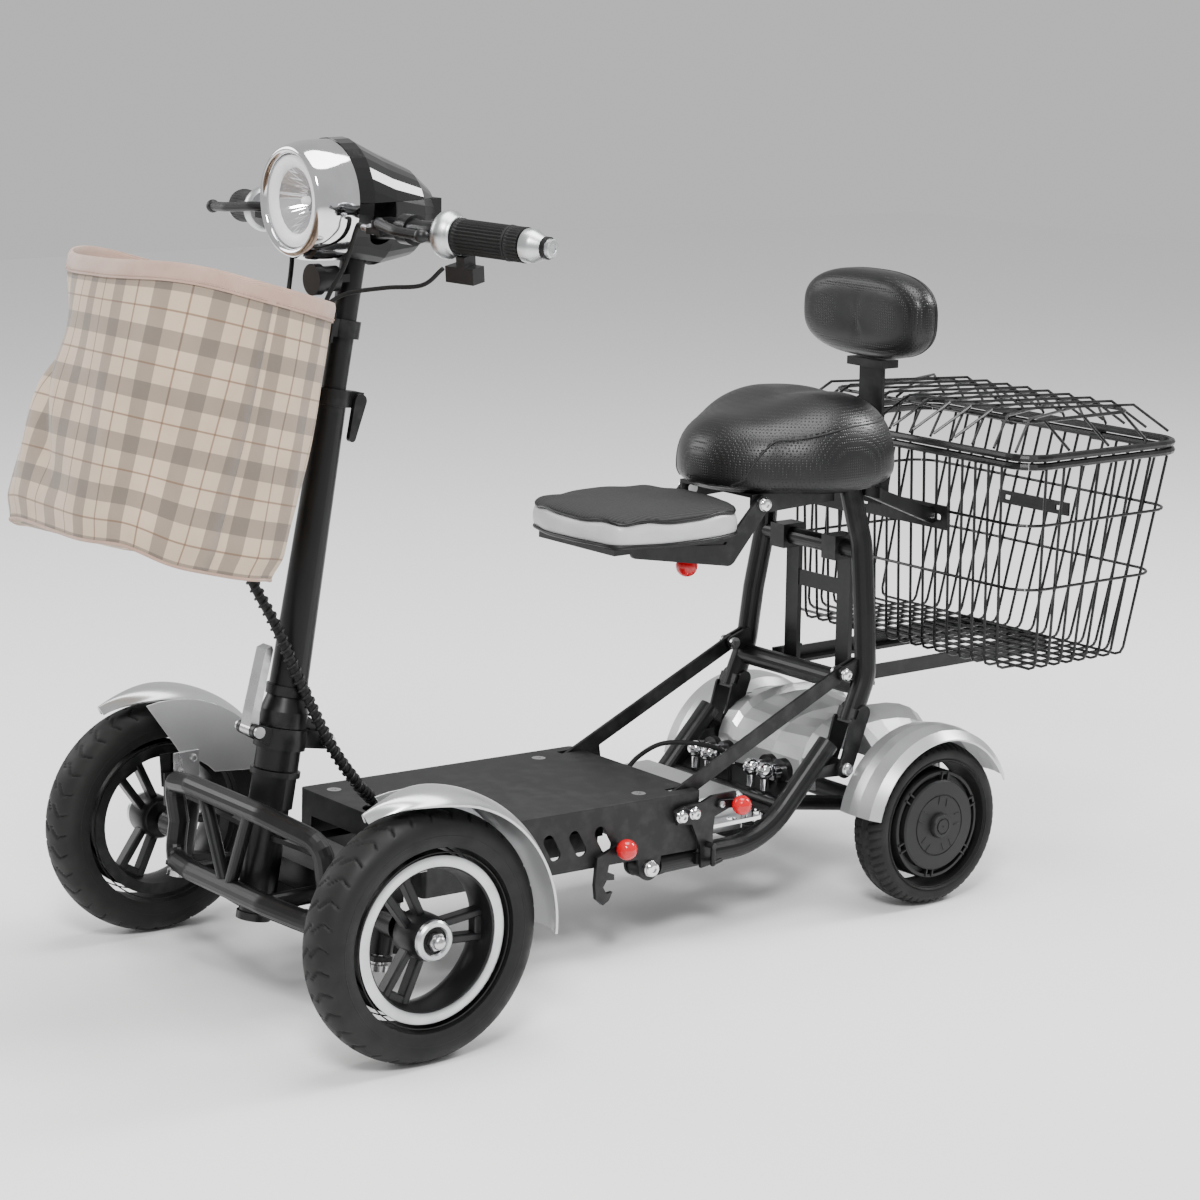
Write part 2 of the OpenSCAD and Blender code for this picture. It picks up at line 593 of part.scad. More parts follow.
// countersunk screws: their heads lie just below the deck's face
module at_deck_screws() both() for (y = [deck_front + 26, deck_rear - 66])
    translate([92, y, deck_top]) children();
module deck_screws() color(chrome) on_deck() at_deck_screws() difference() {
    translate([0, 0, -sheet]) cylinder(r1 = 8 - sheet, r2 = 8 - 0.1, h = sheet - 0.1);
    translate([0, 0, -1.2]) cylinder(r = 2.9, h = 2, $fn = 6);
}

// ---------- rear frame ----------
function rear_tube_path(x) = rounded([[x, frame_pivot[0] + 16, frame_pivot[1]], [x, 566, frame_pivot[1]],
    [x, 662, 190]], 108, 8);
lug_l = 22;
eye_l = 18.5;
module rear_tubes() difference() {
    union() {
        both() rod(rear_tube_path(rear_tube_x), tube_r, 24);
        // front eye and rear pivot lug on each tube
        both() yz_plate(rear_tube_x - 11, eye_l) link(frame_pivot, frame_pivot + [20, 0], 13, 11);
        both() yz_plate(rear_tube_x - 11, lug_l) link(seat_pivot, [642, 160], 9, 6);
        // cross plate with its stiffening pipe
        translate([-rear_tube_x, 590, 118]) rotate([-58, 0, 0]) cube([2 * rear_tube_x, 5, 46]);
        xcyl([-rear_tube_x, 604, 122], 9, 2 * rear_tube_x);
        // axle beam, its stays, and dropouts
        xcyl([-132, wheelbase, rear_tyre_r], 11, 264);
        both() rod([[70, 604, 122], [70, 700, 106], [70, wheelbase, rear_tyre_r]], 9, 16);
        translate([-40, 440, 98]) cube([80, 165, 6]);
        both() translate([36, 440, 98]) cube([60, 8, 6]);
        xcyl([-rear_tube_x, 444, 95], 6, 2 * rear_tube_x);
    }
    both() {
        xcyl([rear_tube_x - 20, frame_pivot[0], frame_pivot[1]], 5.05, 60);
        xcyl([rear_tube_x - 20, seat_pivot[0], seat_pivot[1]], 4.05, 60);
    }
    both() xcyl([120, wheelbase, rear_tyre_r], 7.05, 60);
}
module hinge_brackets() color(black) both() difference() {
    union() {
        for (v = [[rear_tube_x - 16.5, 4], [rear_tube_x + 7.9, 3.4]]) yz_plate(v[0], v[1]) hull() {
            translate(frame_pivot) circle(14, $fn = 32);
            translate([frame_pivot[0] - 20, frame_pivot[1] + 44]) square([42, 3]); }
        translate([rear_tube_x - 16.5, frame_pivot[0] - 20, 122]) cube([27.8, 42, 9]);
        translate([rear_tube_x + 2, frame_pivot[0] - 20, 128]) cube([9.3, 42, deck_top - sheet + 0.9 - 128]);
    }
    xcyl([rear_tube_x - 30, frame_pivot[0], frame_pivot[1]], 5.05, 60);
    translate([rear_tube_x - 12.4, frame_pivot[0] - 30, frame_pivot[1] - 15]) cube([20.3, 60, 30]);
}
module hinge_bolts() color(chrome) both() {
    xcyl([rear_tube_x - 21, frame_pivot[0], frame_pivot[1]], 5, 34);
    dome_bolt([rear_tube_x + 11.5, frame_pivot[0], frame_pivot[1]], 9, 6);
    xcyl([rear_tube_x - 21, frame_pivot[0], frame_pivot[1]], 8, 4.4);
}
module controller_box() color(silver) translate([0, 0, 104.3]) difference() {
    hull() for (sx = [-1, 1], y = [476, 470 + controller_l]) {
        translate([sx * 80, y, 0]) cylinder(r = 8, h = 38, $fn = 32);
        translate([sx * 80, y, 38]) cylinder(r = 4, h = 4, $fn = 32);
    }
    translate([-70, 484, -1]) cube([140, controller_l - 22, 39]);
}
module dampers() color(chrome) both() for (x = [38, 62])
    translate([x, 606, 156]) { sphere(r = 10, $fn = 32); translate([0, 0, -22]) cylinder(r = 5, h = 18);
        translate([0, 10, -3]) rotate([-90, 0, 0]) cylinder(r = 9, h = 12); }
module damper_cups() color(rubber) both() {
    for (x = [38, 62]) translate([x, 628.3, 153]) rotate([-90, 0, 0]) cylinder(r = 14, h = 8);
}
module latch_plates() both() {
    yz_plate(deck_half + 3.4, 4) difference() {
        polygon([[424, 152], [436, 156], [462, 157], [476, 162], [510, 162], [512, 148], [480, 138],
            [478, 120], [478, 84], [462, 82], [460, 108], [448, 134], [428, 136]]);
        translate(latch_pivot) circle(3.05);
        translate(lock_pin) circle(3.45);
    }
    translate([rear_tube_x, 458, 86]) cube([deck_half + 4 - rear_tube_x, 15, 12]);
}
module latch_bolts() color(chrome) both() for (p = [[431, 146], [449, 147]])
    dome_bolt([deck_half + 7.5, p[0], p[1]], 7, 6);
module anchor_plates() color(silver) both() {
    difference() {
        hull() for (y = [492, 560]) translate([100, y, 118]) cylinder(r = 9, h = 4, $fn = 32);
        translate([100, 526, 110]) cylinder(r = 6, h = 20);
    }
    for (y = [492, 560]) translate([100, y, 122]) cylinder(r = 6, h = 4);
    for (v = [[492, 103.7], [560, 113.9]]) translate([96, v[0] - 4, v[1]]) cube([8, 8, 118.2 - v[1]]);
}

// cover and rear fenders: rings across X, given as [x, centre y, centre z, half y, half z]
function cover_ring(v, n = 28) = [for (k = [0:n - 1]) let (t = k * 360 / n)
    [v[0], v[1] + v[3] * power(cos(t), 0.8), v[2] + v[4] * power(sin(t), 0.8)]];
cover_half = [[60, 756, 140, 98, 66], [66, 756, 144, 100, 70], [100, 748, 146, 88, 58],
    [124, 750, 138, 72, 46]];
module cover_solid(g) {
    rows = concat([for (i = [len(cover_half) - 1:-1:0]) let (v = cover_half[i])
        cover_ring([-v[0], v[1], v[2], v[3] - g, v[4] - g])],
        [[for (p = cover_ring([0, 760, 138, 92 - g, 60 - g])) p]],
        [for (v = cover_half) cover_ring([v[0], v[1], v[2], v[3] - g, v[4] - g])]);
    loft(rows);
}
module cover_shell() difference() {
    cover_solid(0);
    cover_solid(3);
    translate([-140, 600, 0]) cube([280, 300, 118]);
    translate([-90, 640, 100]) cube([180, 28, 30]);
    translate([-58, 600, 100]) cube([116, 70, 34]);
    for (s = [-1, 1]) xcyl([s * 124 - 10, 750, 110], 40, 20);
    // room for the seat frame's feet
    both() translate([86, 630, 110]) cube([60, 84, 130]);
}
module rear_fender() translate([rear_track / 2, wheelbase, rear_tyre_r])
    fender_skin(rear_tyre_r + 19, -78, 66, 34);
module rear_fenders() color(silver) both() rear_fender();
module rear_lamp() color([0.25, 0.02, 0.03]) translate([-34, 856.5, 150]) cube([68, 6, 28]);

module rear_wheel_at() translate([rear_track / 2, wheelbase, rear_tyre_r]) children();
module rear_tyre_left() color(rubber) rear_wheel_at() tyre(rear_tyre_r, rear_tyre_w, 64);
module rear_hub() {
    difference() {
        union() {
            xcyl([-20, 0, 0], 63.8, 40);
            xcyl([20 - eps, 0, 0], 52, 4);
            xcyl([24 - 2 * eps, 0, 0], 12, 8);
        }
        for (a = [0:60:300]) rotate([a, 0, 0]) for (s = [-1, 1])
            translate([17, s * 5 - 1.6, 52.5]) cube([10, 3.2, 9]);
        xcyl([-30, 0, 0], 7.05, 46);
    }
}
module rear_hub_left() color(black) rear_wheel_at() rear_hub();
module rear_tyre_right() far() rear_tyre_left();
module rear_hub_right() far() rear_hub_left();
module rear_axles() color(chrome) both() xcyl([122, wheelbase, rear_tyre_r], 7, 52);

// ---------- latches ----------
ball_r = 11;
module latch_lever() {
    // levers ride on pins in the outer face of the plates
    yz_plate(deck_half + 8, 4) stadium(latch_pivot, [506, 150], 5);
    xcyl([deck_half + 4, latch_pivot[0], latch_pivot[1]], 3, 6);
    xcyl([deck_half + 11, 506, 150], 3, 8);
    translate([deck_half + 22, 506, 150]) sphere(r = ball_r, $fn = 32);
}
module latch_lever_left() color(red) latch_lever();
module latch_lever_right() far() latch_lever_left();
module hook_lever() color(black) {
    yz_plate(deck_half + 3, 5) polygon([[318, 118], [330, 122], [352, 130], [354, 120], [334, 108],
        [332, 100], [341, 96], [341, 90], [331, 91], [326, 84], [331, 76], [339, 77], [334, 68],
        [326, 64], [317, 72], [315, 88]]);
    xcyl([deck_half - 6, hook_pivot[0], hook_pivot[1]], 3, 10);
    xcyl([deck_half + 7, 349, 125], 3, 6);
    translate([deck_half + 19, 349, 125]) sphere(r = ball_r, $fn = 32);
}
module spring_pin() color(black) {
    elbow = [deck_half + 17, lock_pin[0], lock_pin[1]];
    foot = elbow - [0, 0, 20];
    xcyl([deck_half - 8, lock_pin[0], lock_pin[1]], 3.4, 28);
    translate(foot) cylinder(r = 2.8, h = 20);
    translate(foot) sphere(r = 3.2);
    translate(foot) rotate([-90, 0, 20]) cylinder(r = 2.5, h = 18);
}

// ---------- seat frame ----------
function seat_tube_path() = rounded([[rear_tube_x, 694, 211], [rear_tube_x, 716, 262], [98, 719, 330],
    [84, 724, 410], [71, 716.5, 470.8]], 60, 4);
module seat_tubes() color(black) difference() {
    union() {
        both() rod(seat_tube_path(), tube_r, 24);
        rod([[-84, 723, 402], [84, 723, 402]], 10, 20);
        rod([[-100, 710, 250], [100, 710, 250]], 12, 20);
        // feet: a block and two cheeks round the rear frame's lug
        both() {
            for (x = [rear_tube_x - 15.8, rear_tube_x + 12.7]) yz_plate(x, 3) {
                link(seat_pivot, [702, 222], 11, 9);
                link(seat_pivot, [686, 214], 9, 4); }
            translate([rear_tube_x - 14, 0, 0]) rotate([90, 0, 90]) linear_extrude(28)
                polygon([[690, 228], [684, 212], [703, 208], [712, 224]]);
        }
        // forked lugs for the struts
        both() for (x = [92.6, 101.4]) yz_plate(x, 4) link(strut_top, [706, 270], 8, 12);
    }
    both() {
        xcyl([80, seat_pivot[0], seat_pivot[1]], 4.05, 60);
        xcyl([84, strut_top[0], strut_top[1]], 4.05, 30);
    }
}
module pivot_bolts() color(chrome) both() {
    xcyl([rear_tube_x - 19, seat_pivot[0], seat_pivot[1]], 4, 38);
    dome_bolt([rear_tube_x + 15.8, seat_pivot[0], seat_pivot[1]], 7, 5);
    xcyl([rear_tube_x - 19, seat_pivot[0], seat_pivot[1]], 7, 3.1);
    xcyl([88, strut_top[0], strut_top[1]], 4, 21);
    xcyl([88.4, strut_top[0], strut_top[1]], 7, 4.1);
    dome_bolt([105.5, strut_top[0], strut_top[1]], 7, 5);
}
module struts() color(black) both() difference() {
    yz_plate(97, 4) stadium(strut_top, strut_foot, 8.5);
    xcyl([90, strut_top[0], strut_top[1]], 4.05, 20);
    xcyl([90, strut_foot[0], strut_foot[1]], 4.05, 20);
}
module saddle_plate() difference() {
    union() {
        translate([-84, 700, 476.2]) cube([168, 40, 4]);
        both() yz_plate(60, 4) polygon([[576, 458], [600, 456], [698, 460], [698, 478], [576, 478]]);
        translate([-64, 576, 474]) cube([128, 170, 4]);
        translate([-64, 738, 440]) cube([128, 4, 38]);
    }
    both() xcyl([50, child_pivot[0], child_pivot[1]], 5.05, 30);
}
// saddle rings stacked in Z, given as [z, half width, half length, centre y]
module saddle_solid(g) {
    n = 40;
    function width_at(t) = 1 - 0.40 * pow(max(0, -sin(t)), 1.6);
    rows = [for (v = [[481, 0.86, 0.90], [488, 0.97, 0.98], [510, 1, 1], [535, 0.99, 0.99], [558, 0.93, 0.95],
        [573, 0.80, 0.86], [582, 0.55, 0.66]])
        [for (k = [0:n - 1]) let (t = k * 360 / n)
            [(saddle_w / 2 * v[1] - g) * power(cos(t), 0.8) * width_at(t),
             670 + (saddle_l / 2 * v[2] - g) * power(sin(t), 0.8),
             v[0] - (t > 180 && v[0] > 540 ? 14 * pow(-sin(t), 2) : 0)]]];
    loft(rows);
}
module saddle() color(black) saddle_solid(0);
backrest_z = 661;
module backrest_stem() color(black) {
    translate([-20, 807, 452]) cube([40, 4, backrest_z - backrest_h / 2 - 452.4]);
    translate([-30, 796, backrest_z - backrest_h / 2 - 10]) cube([60, 26, 9.4]);
}
module stem_socket() color(black) difference() {
    translate([-28, 802.4, 440]) cube([56, 13, 66]);
    translate([-20.2, 806.8, 430]) cube([40.4, 4.4, 90]);
    translate([-10, 800, 450]) cube([20, 4, 40]);
}
module backrest() color(black) translate([0, 832, backrest_z]) rotate([90, 0, 0]) {
    loft([for (v = [[0, 0.86], [6, 0.97], [20, 1], [36, 0.97], [47, 0.86], [52, 0.66]])
        ring(0, 0, v[0], backrest_w / 2 * v[1], backrest_h / 2 * v[1], 0.72, 36)]);
}
child_y = 462;
module child_pad() difference() {
    loft([for (v = [[437, 0.96], [440, 1], [462, 1], [466, 0.97]])
        ring(0, child_y, v[0], child_w / 2 * v[1], child_w / 2 * v[1], 0.62, 36)]);
    // grooves over the two arms
    both() translate([63.5, 536, 430]) cube([6, 40, 20]);
}
module child_seat_top() color(black)
    loft([for (v = [[466.4, 0.95], [471, 0.94], [474, 0.9]])
        ring(0, child_y, v[0], child_w / 2 * v[1], child_w / 2 * v[1], 0.62, 36)]);
module child_frame() difference() {
    union() {
        both() yz_plate(64.4, 4) {
            link(child_pivot, [540, 414], 10, 12);
            link([540, 414], [410, 430], 12, 6);
        }
        translate([-68.4, 380, 430]) cube([136.8, 172, 6.5]);
        translate([-68.4, 538, 406]) cube([136.8, 5, 26]);
    }
    both() xcyl([40, child_pivot[0], child_pivot[1]], 5.05, 40);
}
module child_bolts() color(chrome) both() {
    xcyl([58, child_pivot[0], child_pivot[1]], 5, 12);
    xcyl([56, child_pivot[0], child_pivot[1]], 6.8, 3.9);
    dome_bolt([68.5, child_pivot[0], child_pivot[1]], 8, 5);
}
module child_release() color(red) {
    translate([10, 528, 396]) cylinder(r = 3.2, h = 33.9);
    translate([10, 528, 394]) sphere(r = ball_r + 1, $fn = 32);
}

// ---------- rack and basket ----------
basket_y = 856;
basket_z = 262;
basket_top = basket_z + basket_h;
module rack_body() {
    both() translate([34, 733, 238]) cube([22, 6, 155]);
    translate([-50, 734, 342]) cube([100, 4, 18]);
    translate([-66, 722, 236]) cube([132, 46, 4]);
    both() translate([62.5, 723, 237]) cube([4, 44, 25]);
    both() translate([48, 726, 243]) cube([17, 324, 4]);
    both() translate([61, 727, 244]) cube([4, 322, 15.6]);
    translate([-64, 1044, 242]) cube([128, 6.5, 17]);
    // clamps on the upper cross tube
    both() difference() {
        translate([33, 708, 388]) cube([24, 32, 28]);
        xcyl([30, 723, 402], 10.2, 40);
    }
}
module basket_bracket() color(black) difference() {
    union() {
        translate([-92, 849.2, 414]) cube([184, 3, 28]);
        both() hull() {
            translate([60, 845, 420]) cube([10, 5, 16]);
            translate([66, 742, 462]) cube([10, 4, 12]);
        }
        translate([-92, 742, 462]) cube([184, 4, 12]);
    }
    for (x = [-74, -52, 52, 74]) translate([x, 860, 428]) rotate([90, 0, 0])
        linear_extrude(20) stadium([-4, 0], [4, 0], 3.5);
}
function rim_loop(a, y0, y1, z, r) = let (c = [[a, y0, z], [a, y1, z], [-a, y1, z], [-a, y0, z]])
    concat([[0, y0, z]], corner([0, y0, z], c[0], c[1], r, 6), corner(c[0], c[1], c[2], r, 6),
        corner(c[1], c[2], c[3], r, 6), corner(c[2], c[3], [0, y0, z], r, 6));
// closed wire loop made of one swept skin
module wire_loop(p, r, n = 8) {
    m = len(p);
    points = [for (i = [0:m - 1]) let (t = unit(p[(i + 1) % m] - p[(i + m - 1) % m]),
        s = unit(cross(t, [0, 0, 1])), b = cross(t, s))
        for (k = [0:n - 1]) p[i] + r * (cos(k * 360 / n) * s + sin(k * 360 / n) * b)];
    faces = [for (i = [0:m - 1], k = [0:n - 1]) let (j = (i + 1) % m)
        [i * n + k, j * n + k, j * n + (k + 1) % n, i * n + (k + 1) % n]];
    polyhedron(points, faces, convexity = 8);
}
taper_side = 5;
taper_back = 64;
function in_basket(f, sx, fy) = [sx * (basket_half - taper_side * f),
    basket_y + 8 * f + fy * (basket_l - (8 + taper_back) * f), basket_top - basket_h * f];
module basket_rim() { a = in_basket(0, 1, 0); b = in_basket(0, 1, 1);
    wire_loop(rim_loop(a[0], a[1], b[1], a[2], 34), 4.5); }
// hoops lie outside the upright wires, which are welded to them
module hoop(f) { a = in_basket(f, 1, 0); b = in_basket(f, 1, 1); g = 2 * wire_r + weld_gap;
    wire_loop(rim_loop(a[0] + g, a[1] - g, b[1] + g, a[2], 34), wire_r); }
weld_gap = 0.03;
weld_in = 0.2;
cross_n = 20;
side_wires = 9;
// five wire panels: hairline joints part them at the corners and round the floor
module basket() difference() {
    basket_wires();
    for (f = [0, 0.28, 0.59], sx = [-1, 1], fy = [0, 1]) let (c = in_basket(f, sx, fy))
        translate(c - [sx * panel_in, (2 * fy - 1) * panel_in, 0])
            rotate(sx * (2 * fy - 1) * 45) cube([30, panel_gap, 14], center = true);
    translate([-basket_half - 20, basket_y - 20, basket_z + 14])
        cube([2 * basket_half + 40, basket_l + 40, panel_gap]);
}
panel_in = 10;
panel_gap = 0.4;
module basket_wires() color(black) {
    basket_rim();
    hoop(0.28);
    hoop(0.59);
    drop = [0, 0, -4.5 + weld_in];
    // wires running down the front, under the floor and up the back
    for (i = [2:cross_n - 2]) let (u = -1 + 2 * i / cross_n, a = in_basket(0, u, 0), b = in_basket(1, u, 0),
        c = in_basket(1, u, 1), d = in_basket(0, u, 1))
        rod(rounded([a + drop, b, c, d + drop], 10, 2), wire_r, 6);
    // wires running down one side, across the floor and up the other
    lift = [0, 0, 2 * wire_r - weld_in];
    for (i = [1:side_wires - 1]) let (v = i / side_wires, a = in_basket(0, -1, v), b = in_basket(1, -1, v),
        c = in_basket(1, 1, v), d = in_basket(0, 1, v))
        rod(rounded([a + drop, b + lift, c + lift, d + drop], 10, 2), wire_r, 6);
    // slotted hook plate behind the front wires of the back
    translate([-60, in_basket(0.35, 0, 1)[1] - wire_r - 5, basket_top - 100]) difference() {
        cube([120, 3, 16]);
        for (x = [10, 98]) translate([x, -1, 5]) cube([12, 8, 6]);
    }
}
lid_z = basket_top + 9.6;
module basket_lid() color(black) {
    a = in_basket(0, 1, 0);
    b = in_basket(0, 1, 1);
    top = lid_z + 34;
    wire_loop(rim_loop(a[0], a[1], b[1], lid_z, 34), 4.4);
    wire_loop(rim_loop(a[0] - 46, a[1] + 42, b[1] - 42, top, 20), wire_r + 0.4);
    // two clips that turn on the basket's rear rim wire
    both() difference() {
        union() {
            translate([70, b[1], basket_top]) rotate([0, 90, 0]) cylinder(r = 7, h = 14);
            translate([70, b[1] - 3, basket_top]) cube([14, 6, 8]);
        }
        translate([60, b[1], basket_top]) rotate([0, 90, 0]) cylinder(r = 4.6, h = 34);
    }
    // lattice: slanting wires both ways over the raised top, one way above the other
    for (i = [0:8], way = [-1, 1]) let (x0 = -170 + i * 35, x1 = x0 + 60, y0 = a[1], y1 = b[1],
        up = 4.4 + wire_r + weld_gap + (way + 1) / 2 * (2 * wire_r + weld_gap),
        rise = wire_r * 2 + 0.4 + 2 * weld_gap + (way + 1) / 2 * (2 * wire_r + weld_gap))
        rod([[way * (x0 - 20), y0 + 2, lid_z + up], [way * x0, y0 + 42, top + rise],
            [way * x1, y1 - 42, top + rise], [way * (x1 + 20), y1 - 2, lid_z + up]], wire_r, 6);
    // end slopes
    both() for (v = [0.25, 0.5, 0.75]) let (y = a[1] + v * (b[1] - a[1]))
        rod([[a[0], y, lid_z + 4.4 + wire_r + weld_gap], [a[0] - 40, y, top]], wire_r, 6);
}

// ---------- cords ----------
harness_path = [[0, -30, 492], [6, -38, 452], [20, -14, 392], [29, 14, 322], [35, 42, 262], [26, 80, 214],
    [8, 108, 190], [0, 126, 163]];
bar_cable_path = [[72.9, 56.27, 796.7], [66, 55.6, 797.3], [56, 54, 776], [48, 50, 754], [36, 38, 722],
    [26, 24, 668], [14, -6, 560], [2.9, -28.4, 494]];
pod_cable_path = [[164, 90, 762], [140, 82, 744], [96, 68, 738], [60, 46, 730], [44, 30, 716],
    [34, 25.4, 700], [10, 20, 660], [0, -10, 560], [0, -33, 494]];
tail_cable_path = [[-20, 440, 148], [-24, 464, 151], [-22, 488, 172], [-6, 512, 188], [14, 548, 186],
    [12, 584, 172], [2, 602, 152], [0, 606, 131.9]];
module harness() color(rubber) rod(rounded(harness_path, 40, 4), 6, 10);
module bar_cables() color(rubber) both() rod(rounded(bar_cable_path, 30, 4), 2.5, 8);
module pod_cable() color(rubber) rod(rounded(pod_cable_path, 30, 4), 2.2, 8);
module tail_cable() color(rubber) rod(rounded(tail_cable_path, 30, 4), 2.8, 8);

// ---------- nodes ----------
module front_frame() { front_frame_body(); hinge_brackets(); }
module frame_fasteners() { deck_screws(); kingpins(); hinge_bolts(); }
module handlebar_post() { inner_tube(); handlebar(); lever_perches(); bag_hook(); }
module bar_fittings() { bar_caps(); throttle_housing(); cable_adjusters(); }
module rear_hardware() { dampers(); latch_bolts(); anchor_plates(); rear_axles(); }
module seat_bolts() { pivot_bolts(); child_bolts(); }
module headlamp_bowl() color(chrome) { bowl(); headlamp_ring(); }
module headlamp_base() color(black) { base_shell(); display(); horn(); }
module rear_frame() color(black) { rear_tubes(); latch_plates(); damper_cups(); }
module rear_cover() color(silver) { cover_shell(); rear_fenders(); rear_lamp(); }
module column_tube() color(black) { column_body(); column_collar(); }
module saddle_bracket() color(black) { saddle_plate(); stem_socket(); }
module child_seat() color([0.72, 0.72, 0.74]) { child_pad(); child_seat_top(); }
module child_arms() color(black) { child_frame(); child_release(); }
module rack() color(black) { rack_body(); basket_bracket(); }

place() deck_tray();
place() front_frame();
place() bumper();
place() frame_fasteners();
place() knuckle_left();
place() knuckle_right();
place() front_fender_left();
place() front_fender_right();
place() front_tyre_left();
place() front_rim_left();
place() front_tyre_right();
place() front_rim_right();
place() steering_post();
place() hinge_pins();
place() fold_lever();
place() tie_rods();
place() column_tube();
place() clamp_lever();
place() handlebar_post();
place() bar_fittings();
place() grip_ends();
place() throttle_grip();
place() brake_lever_left();
place() brake_lever_right();
place() switch_pod();
place() horn_button();
place() headlamp_pod();
place() headlamp_base();
place() headlamp_bezel();
place() headlamp_bowl();
place() headlamp_lens();
place() front_bag();
place() rear_frame();
place() controller_box();
place() rear_hardware();
place() rear_cover();
place() rear_tyre_left();
place() rear_hub_left();
place() rear_tyre_right();
place() rear_hub_right();
place() latch_lever_left();
place() latch_lever_right();
place() hook_lever();
place() spring_pin();
place() seat_tubes();
place() seat_bolts();
place() saddle_bracket();
place() saddle();
place() struts();
place() backrest_stem();
place() backrest();
place() child_arms();
place() child_seat();
place() rack();
place() basket();
place() basket_lid();
place() harness();
place() bar_cables();
place() pod_cable();
place() tail_cable();
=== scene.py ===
"""Folding mobility scooter: materials, soft goods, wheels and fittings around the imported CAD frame."""
import json
import math

import bmesh
import bpy
from mathutils import Matrix, Vector


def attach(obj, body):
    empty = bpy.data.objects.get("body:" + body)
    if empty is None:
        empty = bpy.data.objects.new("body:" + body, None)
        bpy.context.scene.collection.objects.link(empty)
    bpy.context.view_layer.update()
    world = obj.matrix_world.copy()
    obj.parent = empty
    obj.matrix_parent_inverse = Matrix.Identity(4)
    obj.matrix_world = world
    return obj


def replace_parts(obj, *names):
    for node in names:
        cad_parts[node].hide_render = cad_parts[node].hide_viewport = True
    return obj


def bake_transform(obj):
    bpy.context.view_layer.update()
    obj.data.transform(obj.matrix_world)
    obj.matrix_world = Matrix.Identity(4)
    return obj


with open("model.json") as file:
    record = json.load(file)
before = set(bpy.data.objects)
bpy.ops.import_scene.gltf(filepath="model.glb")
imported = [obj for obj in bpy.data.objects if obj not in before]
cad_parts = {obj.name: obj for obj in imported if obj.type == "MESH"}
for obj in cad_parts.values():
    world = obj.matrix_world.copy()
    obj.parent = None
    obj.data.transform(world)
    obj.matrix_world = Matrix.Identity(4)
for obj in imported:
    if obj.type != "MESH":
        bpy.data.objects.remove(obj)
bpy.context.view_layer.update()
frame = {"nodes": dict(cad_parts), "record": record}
NODES = frame["nodes"]

# ------------------------------------------------------------------ frame helpers
MM = 0.001
AXLE_Y = -432.0          # the front axle's place along the row frame's Y
FRONT_TRACK = 520.0
REAR_TRACK = 320.0
WHEELBASE = 765.0
FRONT_R = 127.5
REAR_R = 95.0


SIDES = (("left", 1), ("right", -1))


def at(x, y, z):
    """Millimetres behind the front axle, as a point in the row frame in metres."""
    return Vector((x * MM, (y + AXLE_Y) * MM, z * MM))


def turn(k, count):
    """Angle of step k of count steps round a circle."""
    return 2 * math.pi * k / count


def loops(levels, count, point):
    """One closed ring of point(angle, *level) for each level."""
    return [[point(turn(k, count), *level) for k in range(count)] for level in levels]


# ------------------------------------------------------------------ camera and light
FOCAL_MM = 93.56
LENS_SHIFT = (-0.0386, -0.0067)
LOOK = (51.602, 11.657, 0.955)          # azimuth, elevation and roll in degrees
EYE = (2666.6, -1634.4, 1070.0)


def look_axes(azimuth, elevation, roll):
    az, el, ro = (math.radians(v) for v in (azimuth, elevation, roll))
    back = Vector((math.sin(az) * math.cos(el), -math.cos(az) * math.cos(el), math.sin(el)))
    right = Vector((math.cos(az), math.sin(az), 0.0))
    up = back.cross(right)
    return right * math.cos(ro) + up * math.sin(ro), up * math.cos(ro) - right * math.sin(ro), back


def make_camera():
    data = bpy.data.cameras.new("camera")
    data.sensor_width = 36.0
    data.lens = FOCAL_MM
    data.shift_x, data.shift_y = LENS_SHIFT
    data.clip_end = 50.0
    cam = bpy.data.objects.new("camera", data)
    bpy.context.scene.collection.objects.link(cam)
    right, up, back = look_axes(*LOOK)
    rot = Matrix((right, up, back)).transposed().to_4x4()
    cam.matrix_world = Matrix.Translation(at(*EYE)) @ rot
    bpy.context.scene.camera = cam


def area_light(name, place, target, size, power):
    data = bpy.data.lights.new(name, "AREA")
    data.shape = "DISK"
    data.size = size
    data.energy = power
    light = bpy.data.objects.new(name, data)
    bpy.context.scene.collection.objects.link(light)
    light.location = place
    light.rotation_euler = (Vector(target) - Vector(place)).to_track_quat("-Z", "Y").to_euler()


def make_studio():
    world = bpy.data.worlds.new("studio")
    bpy.context.scene.world = world
    world.use_nodes = True
    back = world.node_tree.nodes["Background"]
    back.inputs["Color"].default_value = (1, 1, 1, 1)
    back.inputs["Strength"].default_value = 0.62
    target = (0, 0.05, 0.4)
    area_light("key", (2.4, -2.2, 3.2), target, 1.1, 150)
    area_light("fill", (-2.6, -1.6, 1.8), target, 1.8, 40)
    area_light("rim", (0.8, 3.0, 2.4), target, 1.2, 90)
    area_light("top", (0.2, 0.1, 3.6), target, 2.4, 120)
    bpy.ops.mesh.primitive_plane_add(size=14, location=(0, 0, 0))
    floor = bpy.context.object
    floor.name = "floor"
    floor.data.materials.append(simple_floor())


def simple_floor():
    mat = bpy.data.materials.new("floor")
    mat.use_nodes = True
    bsdf = mat.node_tree.nodes["Principled BSDF"]
    bsdf.inputs["Base Color"].default_value = (0.93, 0.93, 0.93, 1)
    bsdf.inputs["Roughness"].default_value = 0.7
    bsdf.inputs["Specular IOR Level"].default_value = 0.2
    return mat


